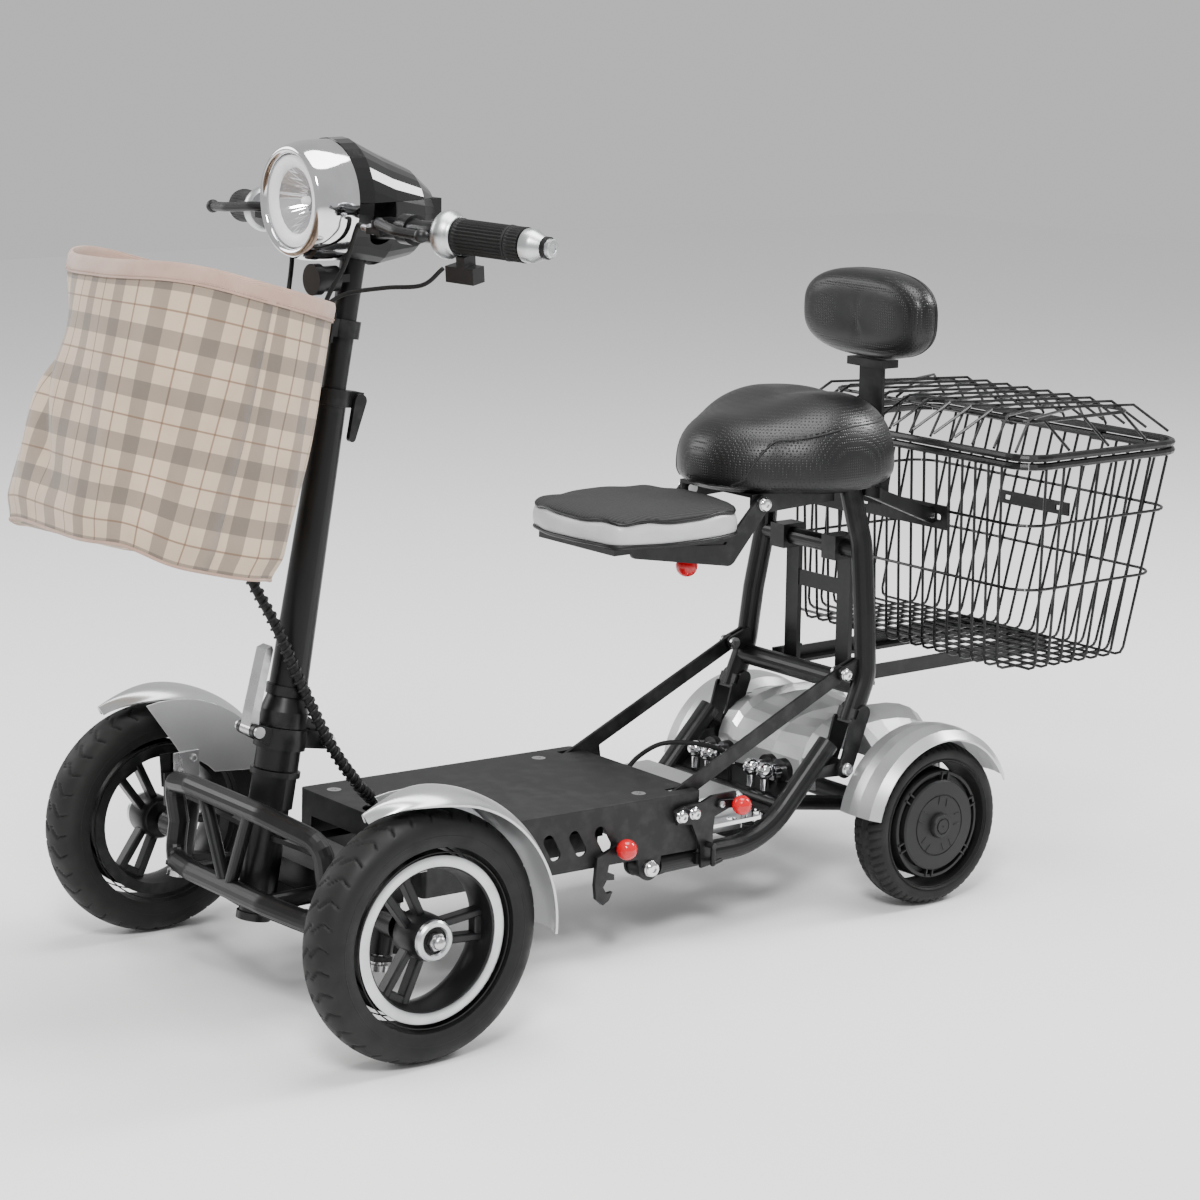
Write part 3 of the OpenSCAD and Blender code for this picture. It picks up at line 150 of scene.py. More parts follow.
# ------------------------------------------------------------------ materials
class Shader:
    """A small wrapper to build one Principled material node by node."""

    def __init__(self, name, colour, rough, metal=0.0, **sockets):
        self.mat = bpy.data.materials.new(name)
        self.mat.use_nodes = True
        self.tree = self.mat.node_tree
        self.bsdf = self.tree.nodes["Principled BSDF"]
        self.bsdf.inputs["Base Color"].default_value = (*colour, 1)
        self.bsdf.inputs["Roughness"].default_value = rough
        self.bsdf.inputs["Metallic"].default_value = metal
        for key, value in sockets.items():
            self.bsdf.inputs[key.replace("_", " ")].default_value = value
        self.coords = self.add("ShaderNodeTexCoord").outputs["Object"]
        self.height = None

    def add(self, kind, **inputs):
        node = self.tree.nodes.new(kind)
        for key, value in inputs.items():
            self.put(node.inputs[key.replace("_", " ")], value)
        return node

    def put(self, socket, value):
        if isinstance(value, bpy.types.NodeSocket):
            self.tree.links.new(value, socket)
        else:
            socket.default_value = value

    def noise(self, scale, detail):
        return self.add("ShaderNodeTexNoise", Scale=scale, Detail=detail, Vector=self.coords).outputs["Fac"]

    def math(self, operation, a, b=0.0, clamp=False):
        node = self.tree.nodes.new("ShaderNodeMath")
        node.operation = operation
        node.use_clamp = clamp
        self.put(node.inputs[0], a)
        self.put(node.inputs[1], b)
        return node.outputs[0]

    def remap(self, value, low, high, to_low, to_high):
        node = self.tree.nodes.new("ShaderNodeMapRange")
        for key, v in zip(("Value", "From Min", "From Max", "To Min", "To Max"),
                          (value, low, high, to_low, to_high)):
            self.put(node.inputs[key], v)
        return node.outputs[0]

    def mix(self, factor, a, b):
        node = self.tree.nodes.new("ShaderNodeMix")
        node.data_type = "RGBA"
        self.put(node.inputs["Factor"], factor)
        for socket, value in ((node.inputs[6], a), (node.inputs[7], b)):
            self.put(socket, (*value, 1) if isinstance(value, tuple) and len(value) == 3 else value)
        return node.outputs[2]

    def colour(self, value):
        self.put(self.bsdf.inputs["Base Color"], value)

    def rough(self, value):
        self.put(self.bsdf.inputs["Roughness"], value)

    def bump(self, value, strength, distance):
        node = self.add("ShaderNodeBump", Strength=strength, Distance=distance, Height=value)
        if self.height is not None:
            self.tree.links.new(self.height, node.inputs["Normal"])
        self.height = node.outputs["Normal"]
        self.tree.links.new(self.height, self.bsdf.inputs["Normal"])

    def edge_wear(self, base, worn):
        point = self.add("ShaderNodeNewGeometry").outputs["Pointiness"]
        mask = self.remap(point, 0.52, 0.60, 0.0, 1.0)
        patch = self.remap(self.noise(60.0, 4.0), 0.45, 0.65, 0.0, 0.8)
        return self.mix(self.math("MULTIPLY", mask, patch, True), base, worn)


def speckled(shader, base, other, scale, rough, spread):
    """Slow colour drift and matching roughness drift over a surface."""
    slow = shader.noise(scale, 4.0)
    shader.rough(shader.remap(slow, 0.3, 0.7, rough - spread, rough + spread))
    return shader.mix(shader.remap(slow, 0.35, 0.65, 0.0, 1.0), base, other)


def powder_black(name="black_paint", base=(0.004, 0.004, 0.0045), rough=0.36):
    s = Shader(name, base, rough, Specular_IOR_Level=0.32)
    drift = speckled(s, base, tuple(v * 1.3 for v in base), 9.0, rough, 0.03)
    s.colour(s.edge_wear(drift, (0.02, 0.02, 0.02)))
    s.bump(s.noise(1400.0, 2.0), 0.12, 0.0004)
    return s.mat


def silver_paint():
    s = Shader("silver_paint", (0.52, 0.525, 0.53), 0.33, 0.75, Coat_Weight=0.35, Coat_Roughness=0.12)
    flakes = s.noise(2600.0, 2.0)
    drift = speckled(s, (0.50, 0.505, 0.51), (0.56, 0.565, 0.57), 6.0, 0.33, 0.04)
    s.colour(s.mix(s.remap(flakes, 0.45, 0.6, 0.0, 0.35), drift, (0.72, 0.73, 0.74)))
    s.bump(flakes, 0.05, 0.0002)
    return s.mat


def metal(name, colour, rough, spread, scale=30.0, streak=False):
    s = Shader(name, colour, rough, 1.0)
    s.colour(speckled(s, colour, tuple(v * 0.86 for v in colour), scale, rough, spread))
    if streak:
        s.bump(s.noise(900.0, 2.0), 0.06, 0.0002)
    return s.mat


def plastic(name, colour, rough, grain=0.08, coat=0.0):
    s = Shader(name, colour, rough, Coat_Weight=coat, Coat_Roughness=0.05, Specular_IOR_Level=0.35)
    s.colour(speckled(s, colour, tuple(min(1.0, v * 1.3 + 0.001) for v in colour), 14.0, rough, 0.03))
    if grain:
        s.bump(s.noise(1100.0, 3.0), grain, 0.0003)
    return s.mat


def rubber(name, colour=(0.006, 0.006, 0.006), rough=0.60):
    s = Shader(name, colour, rough, Specular_IOR_Level=0.3)
    dust = s.remap(s.noise(16.0, 6.0), 0.5, 0.72, 0.0, 0.35)
    s.colour(s.mix(dust, colour, (0.018, 0.018, 0.017)))
    s.rough(s.remap(s.noise(40.0, 4.0), 0.3, 0.7, rough - 0.08, rough + 0.12))
    s.bump(s.noise(700.0, 4.0), 0.15, 0.0004)
    return s.mat


def vinyl():
    """Embossed vinyl: rows of small dimples over a soft grain, with painted shade darkening the bottom of
    each dimple.
    """
    base, rough = (0.005, 0.005, 0.0055), 0.36
    s = Shader("embossed_vinyl", base, rough, Specular_IOR_Level=0.4)
    cells = s.add("ShaderNodeTexVoronoi", Scale=330.0, Randomness=0.12, Vector=s.coords)
    dimple_and_shade = s.remap(cells.outputs["Distance"], 0.10, 0.42, 0.0, 1.0)
    drift = speckled(s, base, tuple(v * 1.6 for v in base), 12.0, rough, 0.05)
    # painted shade: the pit of each dimple is coloured a third as bright as the vinyl around it
    s.colour(s.mix(dimple_and_shade, tuple(v * 0.35 for v in base), drift))
    s.bump(dimple_and_shade, 0.5, 0.0007)
    s.bump(s.noise(60.0, 3.0), 0.12, 0.002)
    return s.mat


def band(s, axis, period, centre, half):
    """1 inside a stripe of a repeating pattern, 0 outside; lengths in metres along axis."""
    soft = 0.00025
    place = s.math("ADD", axis, 50.0 * period - centre + period / 2)
    wrapped = s.math("SUBTRACT", s.math("MODULO", place, period), period / 2)
    return s.remap(s.math("ABSOLUTE", wrapped), half - soft, half + soft, 1.0, 0.0)


def check_fabric():
    """Plain woven gingham: one charcoal band each way on a sand ground, with a thin brown line between."""
    s = Shader("bag_check", (0.56, 0.44, 0.32), 0.85, Sheen_Weight=0.25, Specular_IOR_Level=0.2)
    uv = s.add("ShaderNodeUVMap").outputs["UV"]
    parts = s.add("ShaderNodeSeparateXYZ", Vector=uv)
    cloth = speckled(s, (0.58, 0.45, 0.33), (0.52, 0.40, 0.29), 18.0, 0.85, 0.05)
    period = 0.052
    charcoal, brown = (0.055, 0.052, 0.052), (0.16, 0.085, 0.05)
    twill = s.math("SINE", s.math("MULTIPLY", s.math("ADD", parts.outputs[0], parts.outputs[1]), 4200.0))
    thread = s.remap(twill, -0.3, 0.3, 0.42, 0.62)
    for axis in (parts.outputs[0], parts.outputs[1]):
        cloth = s.mix(s.math("MULTIPLY", band(s, axis, period, 0.016, 0.0085), thread), cloth, charcoal)
        cloth = s.mix(s.math("MULTIPLY", band(s, axis, period, 0.042, 0.0009), 0.7), cloth, brown)
    s.colour(cloth)
    weave = s.math("MULTIPLY", s.math("SINE", s.math("MULTIPLY", parts.outputs[0], 5200.0)),
                   s.math("SINE", s.math("MULTIPLY", parts.outputs[1], 5200.0)))
    s.bump(weave, 0.25, 0.0004)
    s.bump(s.noise(45.0, 4.0), 0.25, 0.004)
    return s.mat


def binding_fabric():
    s = Shader("bag_binding", (0.50, 0.40, 0.36), 0.8, Sheen_Weight=0.3)
    s.colour(speckled(s, (0.46, 0.31, 0.24), (0.40, 0.26, 0.20), 40.0, 0.8, 0.05))
    wave = s.add("ShaderNodeTexWave", Scale=420.0, Distortion=1.0, Vector=s.coords)
    s.bump(wave.outputs["Fac"], 0.4, 0.0005)
    return s.mat


def band_vinyl():
    s = Shader("grey_band", (0.50, 0.50, 0.505), 0.36, Coat_Weight=0.15)
    s.colour(speckled(s, (0.52, 0.52, 0.525), (0.44, 0.44, 0.45), 20.0, 0.36, 0.06))
    s.bump(s.noise(35.0, 4.0), 0.4, 0.004)
    return s.mat


def mesh_cover():
    """Black cover of the child seat: fine waved ribs, with painted shade in the grooves between them."""
    s = Shader("seat_mesh", (0.016, 0.016, 0.017), 0.7)
    wave = s.add("ShaderNodeTexWave", Scale=75.0, Distortion=3.5, Detail_Scale=1.2, Vector=s.coords)
    # painted shade: the low parts of the wave, the grooves of the bump, are coloured darker
    s.colour(s.mix(wave.outputs["Fac"], (0.003, 0.003, 0.003), (0.016, 0.016, 0.017)))
    s.bump(wave.outputs["Fac"], 0.6, 0.0012)
    return s.mat


def glowing(name, colour, strength):
    s = Shader(name, colour, 0.35)
    s.bsdf.inputs["Emission Color"].default_value = (*colour, 1)
    s.bsdf.inputs["Emission Strength"].default_value = strength
    s.colour(speckled(s, colour, tuple(v * 0.93 for v in colour), 50.0, 0.35, 0.03))
    return s.mat


def clear_glass():
    s = Shader("lens_glass", (0.97, 0.98, 1.0), 0.02, Alpha=0.10)
    s.rough(s.remap(s.noise(30.0, 2.0), 0.3, 0.7, 0.0, 0.03))
    return s.mat


MATS = {}


def make_materials():
    MATS.update(
        paint=powder_black(),
        deck=powder_black("deck_paint", (0.006, 0.006, 0.0065), 0.46),
        wire=powder_black("wire_paint", (0.003, 0.003, 0.0035), 0.30),
        silver=silver_paint(),
        chrome=metal("chrome", (0.80, 0.80, 0.82), 0.07, 0.02),
        steel=metal("zinc_steel", (0.56, 0.56, 0.57), 0.30, 0.07, 60.0, True),
        alloy=metal("brushed_alloy", (0.60, 0.61, 0.62), 0.34, 0.06, 40.0, True),
        rubber=rubber("rubber"),
        tyre=rubber("tyre_rubber", (0.007, 0.007, 0.007), 0.58),
        matte=plastic("matte_plastic", (0.005, 0.005, 0.0055), 0.42),
        gloss=plastic("gloss_plastic", (0.003, 0.003, 0.0035), 0.06, 0.0, 0.5),
        hub=plastic("hub_plastic", (0.006, 0.006, 0.0065), 0.48, 0.15),
        red=plastic("red_plastic", (0.50, 0.004, 0.010), 0.16, 0.0, 0.4),
        vinyl=vinyl(),
        plain_vinyl=plastic("plain_vinyl", (0.005, 0.005, 0.0055), 0.36, 0.25),
        thread=plastic("thread", (0.012, 0.012, 0.013), 0.55, 0.2),
        check=check_fabric(),
        binding=binding_fabric(),
        band=band_vinyl(),
        mesh=mesh_cover(),
        led=glowing("led_ring", (0.92, 0.93, 0.95), 0.35),
        glass=clear_glass(),
    )


CAD_MATERIAL = {
    "black_paint": "paint", "silver_paint": "silver", "chrome": "chrome", "steel": "steel",
    "rubber": "rubber", "tyre": "tyre", "matte_black_plastic": "matte", "gloss_black_plastic": "gloss",
    "red_plastic": "red", "lens": "glass", "bag_fabric": "check", "black_vinyl": "vinyl",
    "grey_foam": "band", "black_wire": "wire",
}


def finish_mesh(mesh, mat, smooth_angle):
    mesh.materials.append(MATS[mat])
    mesh.shade_smooth()
    mesh.set_sharp_from_angle(angle=math.radians(smooth_angle))


def dress_cad():
    """Gives every CAD node its material and smooth shading with crisp edges."""
    for part in frame["record"]["subparts"]:
        node = NODES[part["node"]]
        key = "deck" if part["node"] == "deck_tray" else CAD_MATERIAL[part["material_slot"]]
        node.data.materials.clear()
        finish_mesh(node.data, key, 32)


# ------------------------------------------------------------------ mesh helpers
def add_piece(name, verts, faces, body, mat, smooth_angle):
    mesh = bpy.data.meshes.new(name)
    mesh.from_pydata([tuple(v) for v in verts], [], faces)
    mesh.update()
    obj = bpy.data.objects.new(name, mesh)
    bpy.context.scene.collection.objects.link(obj)
    fix = bmesh.new()
    fix.from_mesh(mesh)
    bmesh.ops.recalc_face_normals(fix, faces=fix.faces)
    fix.to_mesh(mesh)
    fix.free()
    finish_mesh(mesh, mat, smooth_angle)
    if body:
        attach(obj, body)
    return obj


def bevel_edges(obj, width, segments=2):
    """Rounds every edge of a piece by width, in millimetres."""
    bevel = obj.modifiers.new("round", "BEVEL")
    bevel.width = width * MM
    bevel.segments = segments
    return bevel


def axes_across(axis):
    """Two unit vectors square to an axis and to each other."""
    side = axis.cross(Vector((0, 0, 1)) if abs(axis.z) < 0.9 else Vector((1, 0, 0))).normalized()
    return side, axis.cross(side)


def around(side, other, angle):
    return side * math.cos(angle) + other * math.sin(angle)


def grid_faces(rows, cols, wrap_cols, wrap_rows=False):
    faces = []
    for i in range(rows if wrap_rows else rows - 1):
        for k in range(cols if wrap_cols else cols - 1):
            j, m = (i + 1) % rows, (k + 1) % cols
            faces.append((i * cols + k, i * cols + m, j * cols + m, j * cols + k))
    return faces


def skin(rows, cap_start=True, cap_end=True, wrap_rows=False):
    """Vertices and faces of a skin through closed rings."""
    cols = len(rows[0])
    verts = [p for row in rows for p in row]
    faces = grid_faces(len(rows), cols, True, wrap_rows)
    if cap_start and not wrap_rows:
        faces.append(tuple(range(cols)))
    if cap_end and not wrap_rows:
        faces.append(tuple((len(rows) - 1) * cols + k for k in range(cols)))
    return verts, faces


def ring_piece(name, levels, count, point, body, mat, angle=35.0, caps=True):
    verts, faces = skin(loops(levels, count, point), caps, caps)
    return add_piece(name, verts, faces, body, mat, angle)


def turned(profile, centre, steps, mirror, closed, shift=None):
    """Revolves (radius, offset along X) points in millimetres round an axis parallel to X."""
    def point(a, r, x):
        reach = r + (shift(a, r, x) if shift else 0.0)
        return at(centre[0] + mirror * x, centre[1] + reach * math.cos(a), centre[2] + reach * math.sin(a))

    return skin(loops(profile, steps, point), False, False, closed)


def turned_piece(name, profile, centre, steps, mirror, body, mat, closed=True, angle=35.0):
    verts, faces = turned(profile, centre, steps, mirror, closed)
    return add_piece(name, verts, faces, body, mat, angle)


def turned_along(name, start, axis, profile, body, mat, steps, ribs=0, rib_depth=0.0, span=(0, 0)):
    """Revolves (offset, radius) points, in millimetres, round an axis through start."""
    axis = axis.normalized()
    side, other = axes_across(axis)

    def point(a, s, r):
        cut = rib_depth * (0.5 - 0.5 * math.cos(ribs * a)) if ribs and span[0] < s < span[1] else 0.0
        return start + axis * (s * MM) + around(side, other, a) * ((r - cut) * MM)

    return ring_piece(name, profile, steps, point, body, mat)


def smooth_route(points, per_span):
    """Catmull-Rom points through a given route."""
    pts = [points[0] * 2 - points[1], *points, points[-1] * 2 - points[-2]]
    out = []
    for i in range(1, len(pts) - 2):
        for k in range(per_span):
            t = k / per_span
            a, b, c, d = pts[i - 1:i + 3]
            out.append(0.5 * ((2 * b) + (c - a) * t + (2 * a - 5 * b + 4 * c - d) * t * t
                              + (3 * b - a - 3 * c + d) * t ** 3))
    out.append(points[-1])
    return out


def tube(name, points, radius, body, mat, sides, closed=False):
    """Round tube along points in metres; radius in millimetres."""
    count = len(points)
    rows = []
    side = None
    for i, p in enumerate(points):
        if closed:
            t = (points[(i + 1) % count] - points[i - 1]).normalized()
        else:
            t = (points[min(i + 1, count - 1)] - points[max(i - 1, 0)]).normalized()
        if side is None:
            side = axes_across(t)[0]
        side = (side - t * side.dot(t)).normalized()
        other = t.cross(side)
        rows.append([p + around(side, other, turn(k, sides)) * radius * MM for k in range(sides)])
    verts, faces = skin(rows, True, True, closed)
    return add_piece(name, verts, faces, body, mat, 60.0)


def ball(name, centre, radius, body, mat):
    bm = bmesh.new()
    bmesh.ops.create_uvsphere(bm, u_segments=40, v_segments=24, radius=radius * MM)
    verts = [centre + v.co for v in bm.verts]
    faces = [tuple(v.index for v in f.verts) for f in bm.faces]
    bm.free()
    return add_piece(name, verts, faces, body, mat, 180.0)


def power(value, exponent):
    return math.copysign(abs(value) ** exponent, value)


def smoothstep(low, high, value):
    t = min(1.0, max(0.0, (value - low) / (high - low)))
    return t * t * (3 - 2 * t)


# ------------------------------------------------------------------ wheels
def tyre_profile(radius, width, bead):
    """Outside of a round-shouldered tyre from bead to bead, (radius, offset)."""
    points = []
    count = 44
    mid = (radius + bead) / 2 + 2
    for i in range(count + 1):
        a = math.radians(-118 + 236 * i / count)
        x = width / 2 * power(math.sin(a), 0.92)
        r = mid + (radius - mid) * power(math.cos(a), 0.80)
        points.append((max(r, bead), x))
    return points


def front_groove(angle, offset, radius):
    """Depth of the front tyre's tread at an angle and offset: slanted sipes each side."""
    pitch = 2 * math.pi / 34
    depth = 0.0
    for side, phase in ((1, 0.0), (-1, 0.5)):
        s = offset * side
        if 2.0 < s < 22.5:
            lean = 0.0085 * s if s < 13 else 0.0085 * 13 - 0.004 * (s - 13)
            local = (angle + lean * side) / pitch + phase
            gap = abs(local - round(local)) * pitch * radius
            depth = max(depth, 2.0 * (1 - smoothstep(0.8, 1.5, gap)))
    depth = max(depth, 0.9 * (1 - smoothstep(0.4, 0.9, abs(abs(offset) - 12.5))))
    return depth


def rear_groove(angle, offset, radius):
    """Depth of the rear tyre's tread: short shoulder blocks and a zigzag centre."""
    pitch = 2 * math.pi / 56
    s = abs(offset)
    depth = 0.0
    if s > 9:
        local = (angle + 0.004 * offset) / pitch
        gap = abs(local - round(local)) * pitch * radius
        depth = 1.8 * (1 - smoothstep(0.9, 1.6, gap)) * (1 - smoothstep(21.5, 23.0, s))
    zigzag = 5.0 + 2.4 * (2 * abs((angle / (2 * pitch)) % 1 - 0.5))
    return max(depth, 1.8 * (1 - smoothstep(0.7, 1.4, abs(s - zigzag))))


def make_tyre(name, node, body, radius, width, bead, mirror, track, y, groove):
    steps = 560 if radius > 100 else 448
    profile = tyre_profile(radius, width, bead)

    def cut(angle, r, x):
        return -groove(angle, x, radius) if r > radius - 0.30 * width else 0.0

    verts, faces = turned(profile, (mirror * track / 2, y, radius), steps, mirror, True, cut)
    piece = add_piece(name, verts, faces, body, "tyre", 50.0)
    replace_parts(piece, node)
    # moulded ring lines on the sidewall
    for k, r in enumerate((radius - width * 0.40, bead + 9)):
        for s in (-1, 1):
            x = s * width * (0.492 if k == 0 else 0.43)
            ring = [at(mirror * (track / 2 + x), y + r * math.cos(a), radius + r * math.sin(a))
                    for a in (turn(i, 96) for i in range(96))]
            tube(f"{name}_ring_{k}_{'o' if s > 0 else 'i'}", ring, 0.7, body, "tyre", 8, True)


def spoke_bar(start_r, end_r, offset, half, x0, x1, angle, spread):
    """Eight corners of one slanted spoke, (y, z) turned by angle; half is its half width."""
    corners = []
    for r, grow in ((start_r, 0.0), (end_r, spread)):
        for x in (x0, x1):
            for t in (-half, half):
                y, z = r, offset + math.copysign(grow, offset) + t
                corners.append((x, y * math.cos(angle) - z * math.sin(angle),
                                y * math.sin(angle) + z * math.cos(angle)))
    return corners


BOX_FACES = [(0, 1, 3, 2), (4, 6, 7, 5), (0, 4, 5, 1), (2, 3, 7, 6), (0, 2, 6, 4), (1, 5, 7, 3)]


def radial_bars(bars, centre, mirror):
    """Vertices and faces of many spoke_bar() boxes round a wheel's centre."""
    verts, faces = [], []
    for bar in bars:
        start = len(verts)
        verts += [at(centre[0] + mirror * x, centre[1] + y, centre[2] + z) for x, y, z in spoke_bar(*bar)]
        faces += [tuple(start + i for i in f) for f in BOX_FACES]
    return verts, faces


def make_front_wheel(side, mirror):
    body = f"front_wheel_{side}"
    centre = (mirror * FRONT_TRACK / 2, 0, FRONT_R)
    make_tyre(f"front_tyre_{side}_tread", f"front_tyre_{side}", body, FRONT_R, 56, 79, mirror, FRONT_TRACK, 0,
              front_groove)
    barrel = [(76, -15), (84, -17), (84, -20.5), (72, -20), (69, -12), (67, 0), (69, 12), (71.5, 19.5),
              (74, 20.5), (84, 20.5), (84, 17), (76, 15)]
    rim = turned_piece(f"front_rim_{side}_barrel", barrel, centre, 128, mirror, body, "paint")
    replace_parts(rim, f"front_rim_{side}")
    lip = [(73.0, 19.6), (73.4, 21.4), (74.4, 22.0), (83.4, 22.2), (84.4, 21.6), (84.6, 20.0)]
    turned_piece(f"front_rim_{side}_lip", lip, centre, 128, mirror, body, "alloy")
    # three pairs of cast spokes, each pair webbed near the rim
    bars = []
    for a in (0, 120, 240):
        bars += [(16, 71, offset, 4.2, -7, 7, math.radians(a), 5.0) for offset in (-8, 8)]
        bars.append((60, 71, 0.001, 11, -6, 6, math.radians(a), 0))
    verts, faces = radial_bars(bars, centre, mirror)
    spokes = add_piece(f"front_rim_{side}_spokes", verts, faces, body, "paint", 30.0)
    bevel_edges(spokes, 1.8, 3)
    hub = [(8, -18), (20, -18), (23, -14), (23.5, 0), (23.5, 14), (21, 20), (8, 20)]
    turned_piece(f"front_hub_{side}", hub, centre, 64, mirror, body, "paint")
    ring = [(13.5, 19), (13.5, 24.5), (15, 26.5), (18.5, 27), (20.5, 25), (20.5, 19)]
    turned_piece(f"front_hub_{side}_ring", ring, centre, 64, mirror, body, "alloy")
    seal = [(7.2, 19.5), (7.2, 23.2), (13.4, 23.6), (13.4, 19.5)]
    turned_piece(f"front_hub_{side}_seal", seal, centre, 48, mirror, body, "rubber")
    hex_nut(f"front_axle_nut_{side}", Vector((mirror, 0, 0)), at(centre[0] + mirror * 23.6, 0, FRONT_R),
            9.5, 7, body, "steel")
    dome = [(30.4, 7.4), (33, 7.2), (35.5, 6.0), (37, 3.6), (37.6, 0.4)]
    turned_along(f"front_axle_cap_{side}", at(centre[0], 0, FRONT_R), Vector((mirror, 0, 0)), dome, body,
                 "steel", 32)


def hex_nut(name, axis, base, across, height, body, mat):
    axis = axis.normalized()
    side, other = axes_across(axis)

    def point(a, s, r):
        return base + axis * (s * height * MM) + around(side, other, a) * (across * r * MM)

    levels = [(0, 0.96), (0.12, 1.0), (0.88, 1.0), (1.0, 0.94)]
    return ring_piece(name, levels, 6, point, body, mat, 25.0)


def make_rear_wheel(side, mirror):
    body = f"rear_wheel_{side}"
    centre = (mirror * REAR_TRACK / 2, WHEELBASE, REAR_R)
    make_tyre(f"rear_tyre_{side}_tread", f"rear_tyre_{side}", body, REAR_R, 48, 64.5, mirror, REAR_TRACK,
              WHEELBASE, rear_groove)
    shell = [(10, -19), (60, -19), (63.5, -16), (63.5, 17), (62, 20), (58.5, 20.5), (58, 15), (53, 15),
             (52.5, 22.5), (50.5, 24), (36, 24.4), (35.4, 23.4), (34.6, 23.4), (34, 24.6), (15, 24.8),
             (14.5, 24.8), (14, 29.5), (13, 31), (9.6, 31.2), (9, 30.2), (8.2, 30.2), (7.8, 31.4), (1, 31.4)]
    hub = turned_piece(f"rear_hub_{side}_cover", shell, centre, 128, mirror, body, "hub", False, 30.0)
    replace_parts(hub, f"rear_hub_{side}")
    bars = [(50, 61, offset, 1.1, 12, 22, math.radians(60 * i + 20), 0)
            for i in range(6) for offset in (-4.6, 4.6)]
    bars += [(r0, r1, offset, 0.7, 24, 25.4, math.radians(72 * i + 8), 0)
             for i in range(5) for offset, r0, r1 in ((-6, 22, 31), (6, 24, 33))]
    verts, faces = radial_bars(bars, centre, mirror)
    ribs = add_piece(f"rear_hub_{side}_ribs", verts, faces, body, "hub", 30.0)
    bevel_edges(ribs, 0.4)


# ------------------------------------------------------------------ fenders
def fender_surface(centre, mirror, radius, start, end, half_width, drop):
    """Grid over a wheel: angle measured from straight up toward the rear, in degrees."""
    verts = []
    rows, cols, lip = 56, 21, 1.6
    for i in range(rows):
        f = i / (rows - 1)
        a = math.radians(start + (end - start) * f)
        w_in, w_out = half_width(f)
        for k in range(cols):
            u = -1 + 2 * k / (cols - 1)
            x = (w_out if u > 0 else w_in) * u
            edge = abs(u) ** 2.6
            r = radius - drop * edge + lip * smoothstep(0.93, 1.0, abs(u))
            verts.append(at(centre[0] + mirror * x, centre[1] + r * math.sin(a), centre[2] + r * math.cos(a)))
    return verts, grid_faces(rows, cols, False)


def thicken(obj, thickness):
    solid = obj.modifiers.new("sheet", "SOLIDIFY")
    solid.thickness = thickness * MM
    solid.offset = -1
    solid.use_even_offset = True
    bevel = bevel_edges(obj, 0.6)
    bevel.limit_method = "ANGLE"
    bevel.angle_limit = math.radians(50)
    subdivide(obj)


def subdivide(obj):
    sub = obj.modifiers.new("smooth", "SUBSURF")
    sub.levels = sub.render_levels = 1


def make_fenders():
    def front_width(f):
        nose = smoothstep(-0.02, 0.30, f)
        w = 4 + 34 * nose
        return w, w + 1.5 * smoothstep(0.5, 1.0, f)

    for side, mirror in SIDES:
        body = f"steering_knuckle_{side}"
        verts, faces = fender_surface((mirror * FRONT_TRACK / 2, 0, FRONT_R), mirror, 148, -27, 96,
                                      front_width, 12)
        skin_piece = add_piece(f"front_fender_{side}_skin", verts, faces, body, "silver", 180.0)
        thicken(skin_piece, 2.4)
        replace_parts(skin_piece, f"front_fender_{side}")
        fender_mount(side, mirror, body)


def fender_mount(side, mirror, body):
    """Inner flange, its stay and the bolted plate of a front fender."""
    def plate(name, outline, x0, x1, mat):
        lower = [at(mirror * x0, y, z) for y, z in outline]
        upper = [at(mirror * x1, y, z) for y, z in outline]
        verts, faces = skin([lower, upper])
        piece = add_piece(name, verts, faces, body, mat, 30.0)
        bevel_edges(piece, 0.5)

    def arc(radius, angles):
        return [(radius * math.sin(math.radians(a)), FRONT_R + radius * math.cos(math.radians(a)))
                for a in angles]

    outline = arc(138, range(-12, 73, 7)) + arc(74, range(48, 3, -9))
    plate(f"front_fender_{side}_flange", outline, 222, 224, "silver")
    plate(f"front_fender_{side}_stay", [(-10, 169), (8, 169), (10, 206), (-12, 206)], 224.1, 226.5, "paint")
    plate(f"front_fender_{side}_plate", [(2, 176), (34, 176), (34, 206), (2, 206)], 219.4, 221.6, "steel")
    inward = Vector((-mirror, 0, 0))
    for k, (y, z) in enumerate(((10, 184), (26, 198))):
        socket_bolt(f"front_fender_{side}_bolt_{k}", at(mirror * 219.4, y, z), inward, 4.6, 3.6, body)


def socket_bolt(name, base, axis, radius, height, body, mat="steel"):
    """Button-head bolt with a six-sided socket."""
    axis = axis.normalized()
    side, other = axes_across(axis)
    levels = [(0, 1.0, 0), (0.30, 1.0, 0), (0.72, 0.86, 0), (0.97, 0.58, 0), (1.0, 0.50, 0),
              (1.0, 0.44, 1), (0.45, 0.42, 1)]

    def point(a, s, r, square):
        edge = math.cos(math.pi / 6) / math.cos((a % (math.pi / 3)) - math.pi / 6) if square else 1.0
        return base + axis * (s * height * MM) + around(side, other, a) * (radius * r * edge * MM)

    return ring_piece(name, levels, 24, point, body, mat, 28.0)


# ------------------------------------------------------------------ soft goods
SADDLE_Y, SADDLE_Z = 670.0, 481.0
SADDLE_A, SADDLE_B = 122.0, 124.0


def domed(point, count, rings):
    """Skin of a cushion from point(angle, height), closed at its crown."""
    verts, faces = skin(loops([(i / rings,) for i in range(rings)], count, point), True, False)
    verts.append(point(0, 1.0))
    last = (rings - 1) * count
    faces += [(last + k, last + (k + 1) % count, len(verts) - 1) for k in range(count)]
    return verts, faces


